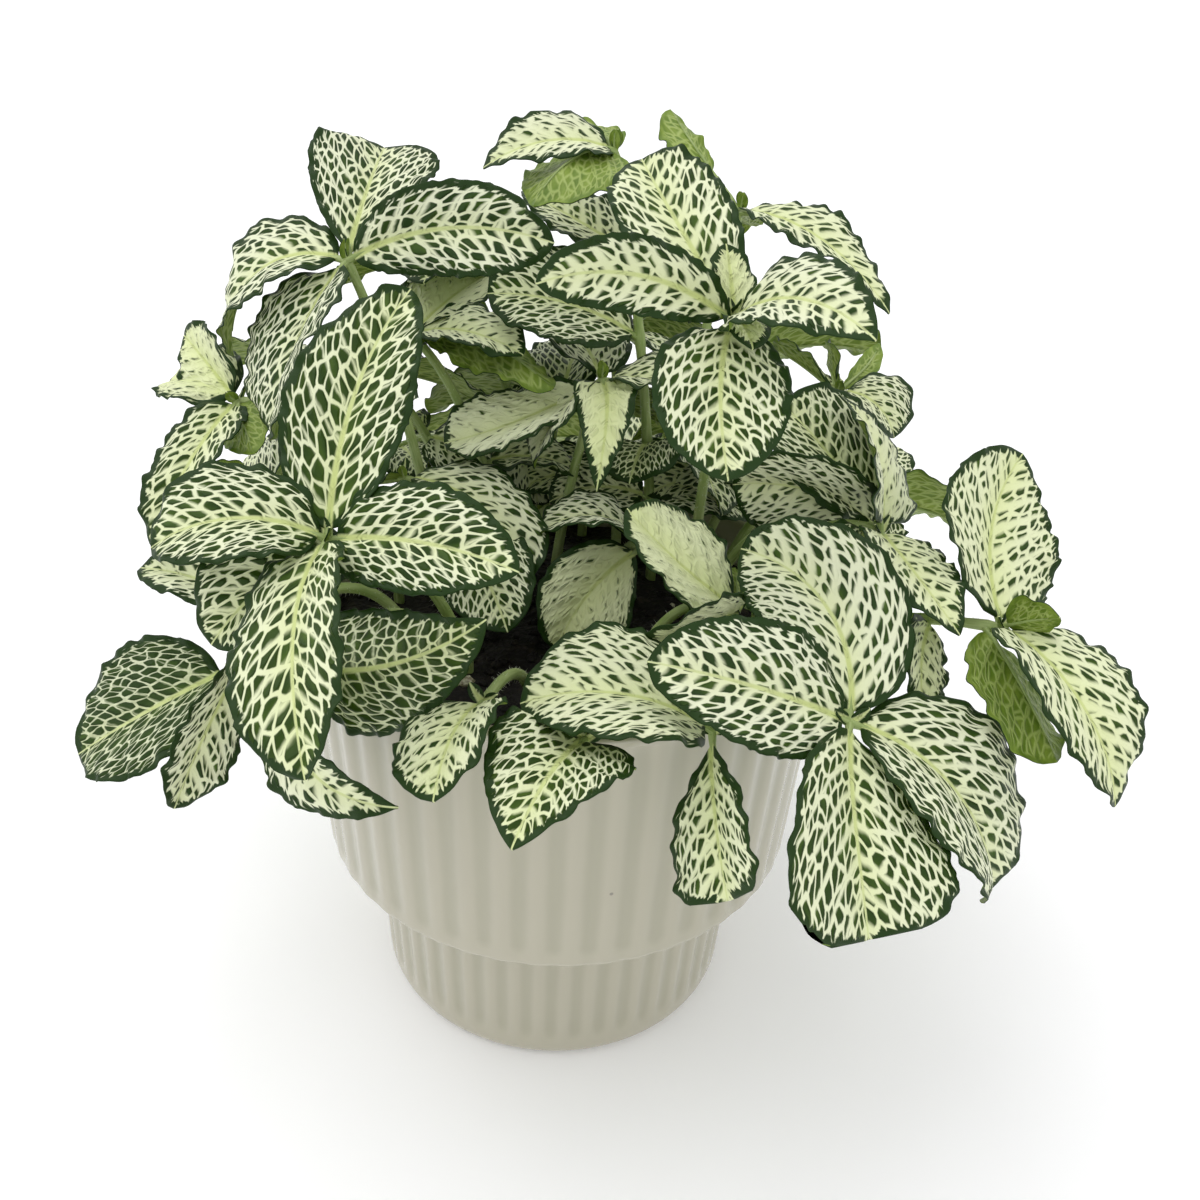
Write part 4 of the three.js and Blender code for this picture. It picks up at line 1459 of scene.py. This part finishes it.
@dataclass
class Pot:
    """The stepped pot, with upright reeds round both its parts and a plain lip."""

    height: float = 124.0
    foot_radius: float = 46.0
    base_radius: float = 51.2
    waist_radius: float = 53.6
    ledge_height: float = 51.4
    ledge_radius: float = 66.0
    rim_radius: float = 69.6
    lip_height: float = 3.0
    foot_round: float = 5.2
    edge_round: float = 1.8
    edge_share: float = 0.4
    foot_fade: float = 0.14
    ledge_fade: float = 0.07
    foot_recess: float = 0.6
    lip_round: float = 1.1
    wall: float = 3.3
    floor: float = 5.0
    ribs: int = 48
    rib_depth: float = 0.7
    points_per_rib: int = 12

    def profile(self) -> Array:
        """Outside and inside of the wall, from the middle of the foot to that of the floor.

        Returns:
            A row of radius, height and share of the ribs' depth for each point.
        """
        lip = self.height - self.lip_height
        rows = [(0.01, self.foot_recess, 0), (self.foot_radius - 8, self.foot_recess, 0),
                (self.foot_radius - 6, 0.05, 0), (self.foot_radius - 1, 0.0, 0)]
        for angle in np.radians(np.linspace(0, 90, 9)):
            radius = self.foot_radius + (self.base_radius - self.foot_radius) * math.sin(angle)
            rise = self.foot_round * (1 - math.cos(angle))
            rows.append((radius, rise, 0))
        for share in np.linspace(0.04, 1, 20):
            rows.append((self.base_radius + (self.waist_radius - self.base_radius) * share,
                         self.foot_round + (self.ledge_height - self.foot_round) * share,
                         smooth_step(0, self.foot_fade, share)))
        inward = self.ledge_radius - self.edge_round
        for radius in np.linspace(self.waist_radius + 0.6, inward, 6):
            rows.append((radius, self.ledge_height, self.edge_share))
        for angle in np.radians(np.linspace(15, 90, 6)):
            rows.append((inward + self.edge_round * math.sin(angle),
                         self.ledge_height + self.edge_round * (1 - math.cos(angle)),
                         self.edge_share))
        low = self.ledge_height + self.edge_round
        for share in np.linspace(0.03, 1, 24):
            rows.append((self.ledge_radius + (self.rim_radius - self.ledge_radius) * share,
                         low + (lip - low) * share,
                         max(self.edge_share, smooth_step(0, self.ledge_fade, share))))
        for share in np.linspace(0.25, 1, 4):
            rows.append((self.rim_radius, lip + self.rib_depth * share,
                         1 - smooth_step(0, 1, share)))
        mouth = self.rim_radius - self.wall - self.rib_depth
        bend = (self.rim_radius - mouth) / 2
        for angle in np.radians(np.linspace(0, 180, 13)):
            rows.append((mouth + bend + bend * math.cos(angle),
                         self.height - self.lip_round + self.lip_round * math.sin(angle), 0))
        drop = self.wall + self.rib_depth
        step = self.ledge_height + self.wall
        rows += [
            (self.ledge_radius - drop, step + 1, 0), (self.ledge_radius - drop - 1, step, 0),
            (self.waist_radius - drop, step, 0),
            (self.base_radius - drop, self.floor + 2, 0),
            (self.base_radius - drop - 2, self.floor, 0), (0.01, self.floor, 0),
        ]
        return np.array(rows)

    def build(self) -> bpy.types.Object:
        """Make the piece that stands for the pot's solid."""
        draft = Draft(("glaze",))
        profile = self.profile()
        sides = self.ribs * self.points_per_rib
        angle = round_angles(sides)
        reed = 0.5 - 0.5 * np.cos(angle * self.ribs)
        dip = profile[:, 2, None] * (1 - reed)[None]
        radius = profile[:, 0, None] - self.rib_depth * dip
        points = np.stack([
            radius * np.cos(angle), radius * np.sin(angle),
            np.repeat(profile[:, 1, None], sides, 1),
        ], axis=-1)
        told = np.zeros(points.shape)
        told[..., 0] = dip
        girth = 2 * math.pi * self.rim_radius
        draft.add_rings(points, path_length(profile[:, :2]), girth, 0, glaze=told)
        return draft.piece("glazed_pot_shell", [PotGlaze().material()], "pot")


@dataclass
class Soil:
    """The soil in the pot: one lumpy body, with crumbs and a few grains of grit on top."""

    height: float = 112.0
    lump: float = 1.3
    edge_drop: float = 2.0
    bottom: float = 5.3
    low_radius: float = 46.6
    waist_radius: float = 49.0
    ledge: float = 55.0
    ledge_radius: float = 61.4
    edge_radius: float = 64.2
    rings: int = 70
    sides: int = 180
    crumbs: int = 420
    grit: int = 9
    girth: float = 300.0
    seed: int = 41
    clod: float = 0.75
    crumb_sizes: tuple[float, float] = (0.5, 1.7)
    grit_sizes: tuple[float, float] = (0.7, 1.2)
    lump_stretch: float = 1.2
    fleck: tuple[float, float] = (-24.5, -33.0)
    fleck_size: float = 1.9
    fleck_stretch: float = 1.6

    def surface(self, x: Array, y: Array) -> Array:
        """Height of the soil's broad lumps."""
        return self.height + self.lump * np.sin(0.21 * x + 1) * np.cos(0.17 * y - 0.6)

    @staticmethod
    def roughness(x: Array, y: Array, random: np.random.Generator) -> Array:
        """Small random clods, between about -1 and 1."""
        total = np.zeros_like(x)
        for size in (0.45, 0.8, 1.3, 2.1):
            turn = random.uniform(0, 2 * math.pi, 3)
            for angle in turn:
                wave = x * math.cos(angle) + y * math.sin(angle)
                total += np.sin(wave * size + angle * 9) / (size + 0.6)
        return total / 5

    def build(self) -> bpy.types.Object:
        """Make the piece that stands for the soil's solid."""
        random = np.random.default_rng(self.seed)
        draft = Draft(())
        angle = round_angles(self.sides)
        share = np.linspace(1, 0.004, self.rings)
        radius = self.edge_radius * share
        x = radius[:, None] * np.cos(angle)
        y = radius[:, None] * np.sin(angle)
        inner = smooth_step(1.0, 0.9, share)[:, None]
        top = (self.height - self.edge_drop) * (1 - inner) + self.surface(x, y) * inner
        top = top + self.clod * self.roughness(x, y, random)
        below = [(self.low_radius * 0.01, self.bottom), (self.low_radius, self.bottom),
                 (self.waist_radius, self.ledge), (self.ledge_radius, self.ledge)]
        rings = [np.stack([r * np.cos(angle), r * np.sin(angle), np.full(self.sides, z)], -1)
                 for r, z in below]
        points = np.concatenate([np.stack(rings), np.stack([x, y, top], axis=-1)])
        draft.add_rings(points, path_length(points[:, 0]), self.girth, 0)
        self.add_lumps(draft, random, self.crumbs, 0, self.crumb_sizes)
        self.add_lumps(draft, random, self.grit, 1, self.grit_sizes)
        fleck = np.array(self.fleck)
        self.add_lump(draft, random, fleck, self.fleck_size, 1, self.fleck_stretch)
        finishes = [PottingSoil().material(), PaleGrit().material()]
        return draft.piece("potting_soil_body", finishes, "soil")

    def add_lumps(
        self, draft: Draft, random: np.random.Generator, count: int, finish: int,
        sizes: tuple[float, float],
    ) -> None:
        """Strew lumps over the surface.

        Args:
            draft: the piece.
            random: the source of the draws.
            count: how many.
            finish: their finish.
            sizes: least and greatest radius.
        """
        for _ in range(count):
            radius = (self.edge_radius - 3) * math.sqrt(random.uniform(0, 1))
            angle = random.uniform(0, 2 * math.pi)
            where = np.array([radius * math.cos(angle), radius * math.sin(angle)])
            size = random.uniform(*sizes)
            self.add_lump(draft, random, where, size, finish, self.lump_stretch)

    def add_lump(
        self, draft: Draft, random: np.random.Generator, where: Array, size: float,
        finish: int, stretch: float,
    ) -> None:
        """Add one irregular lump, half sunk.

        Args:
            draft: the piece.
            random: the source of the draws.
            where: its place on the surface.
            size: its radius.
            finish: its finish.
            stretch: how much longer than wide it is.
        """
        rows, sides = 6, 8
        tilt = np.linspace(0.05, math.pi - 0.05, rows)
        angle = round_angles(sides)
        shape = random.uniform(0.75, 1.2, (rows, sides))
        turn = random.uniform(0, 2 * math.pi)
        x = shape * np.sin(tilt)[:, None] * np.cos(angle) * size * stretch
        y = shape * np.sin(tilt)[:, None] * np.sin(angle) * size
        z = shape * np.cos(tilt)[:, None] * size * 0.8
        points = np.stack([x * math.cos(turn) - y * math.sin(turn),
                           x * math.sin(turn) + y * math.cos(turn), z], axis=-1)
        middle = (*where, float(self.surface(where[0], where[1])) + size * 0.15)
        first, patch = draft.add_rings(
            points + middle, np.linspace(0, size * 2, rows), size * 3, finish, False)
        for row, step in ((0, -1), (rows - 1, 1)):
            order = (first + row * sides + np.arange(sides))[::step]
            fan = np.stack([np.full(sides - 2, order[0]), order[1:-1], order[2:]], axis=-1)
            draft.add_faces(fan[:, ::-1], finish, patch, np.zeros((sides - 2, 3, 2)))


# ------------------------------------------------------------------------------ studio


@dataclass
class Studio:
    """Camera, pale floor and soft light."""

    camera_place: tuple[float, float, float] = (0.0, -0.268, 0.272)
    pitch: float = 29.7
    roll: float = 3.1
    yaw: float = 1.9
    lens: float = 34.65
    sensor: float = 36.0
    clip: tuple[float, float] = (0.01, 200.0)
    floor_size: float = 120.0
    floor_colour: Colour = (0.915, 0.915, 0.930)
    floor_glow: float = 0.10
    sky_strength: float = 0.96
    sun_strength: float = 0.95
    sun_spread: float = 55.0
    sun_from: tuple[float, float, float] = (-0.42, 0.05, 0.9)

    def build(self) -> None:
        """Make all of it."""
        self.make_camera()
        self.make_floor()
        self.make_sky()
        self.make_sun()
        bpy.context.scene.view_settings.view_transform = "Standard"

    def make_camera(self) -> None:
        """Make the camera, which looks down on the plant from the front."""
        pitch, roll, yaw = (math.radians(a) for a in (self.pitch, self.roll, self.yaw))
        ahead = Vector((math.sin(yaw) * math.cos(pitch), math.cos(yaw) * math.cos(pitch),
                        -math.sin(pitch)))
        level = Vector((math.cos(yaw), -math.sin(yaw), 0.0))
        above = level.cross(ahead)
        right = level * math.cos(roll) + above * math.sin(roll)
        up = above * math.cos(roll) - level * math.sin(roll)
        turned = Matrix((right, up, -ahead)).transposed().to_4x4()
        data = bpy.data.cameras.new("portrait_camera")
        data.lens = self.lens
        data.sensor_width = self.sensor
        data.clip_start, data.clip_end = self.clip
        camera = linked("portrait_camera", data)
        camera.matrix_world = Matrix.Translation(self.camera_place) @ turned
        bpy.context.scene.camera = camera

    def make_floor(self) -> None:
        """Make the floor."""
        half = self.floor_size / 2
        mesh = bpy.data.meshes.new("floor")
        corners = [(-half, -half, 0), (half, -half, 0), (half, half, 0), (-half, half, 0)]
        mesh.from_pydata(corners, [], [(0, 1, 2, 3)])
        bench = Bench("floor_paper")
        grain = bench.noise(bench.place(), 900, 2)
        mesh.materials.append(bench.finish({
            "Base Color": self.floor_colour,
            "Roughness": 0.75 + grain * 0.1,
            "Specular IOR Level": 0.2,
            "Emission Color": (1.0, 1.0, 1.0),
            "Emission Strength": self.floor_glow,
        }))
        linked("floor", mesh)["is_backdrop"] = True

    def make_sky(self) -> None:
        """Make the even white light from all round."""
        world = bpy.data.worlds.new("white_room")
        world.use_nodes = True
        glow = world.node_tree.nodes["Background"]
        glow.inputs["Color"].default_value = (1.0, 1.0, 1.0, 1.0)
        glow.inputs["Strength"].default_value = self.sky_strength
        bpy.context.scene.world = world

    def make_sun(self) -> None:
        """Make the broad soft light from above."""
        data = bpy.data.lights.new("broad_light", "SUN")
        data.energy = self.sun_strength
        data.angle = math.radians(self.sun_spread)
        lamp = linked("broad_light", data)
        lamp.rotation_euler = Vector(self.sun_from).to_track_quat("Z", "Y").to_euler()


def main() -> None:
    """Build the studio, the pot, the soil and the plant."""
    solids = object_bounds()
    Studio().build()
    Pot().build()
    Soil().build()
    low, high = (np.array(corner) / MM for corner in solids)
    Plant().build((low + BOX_GAP, high - BOX_GAP))


if __name__ == "__main__":
    logging.basicConfig(level=logging.INFO, format="%(message)s")
    main()
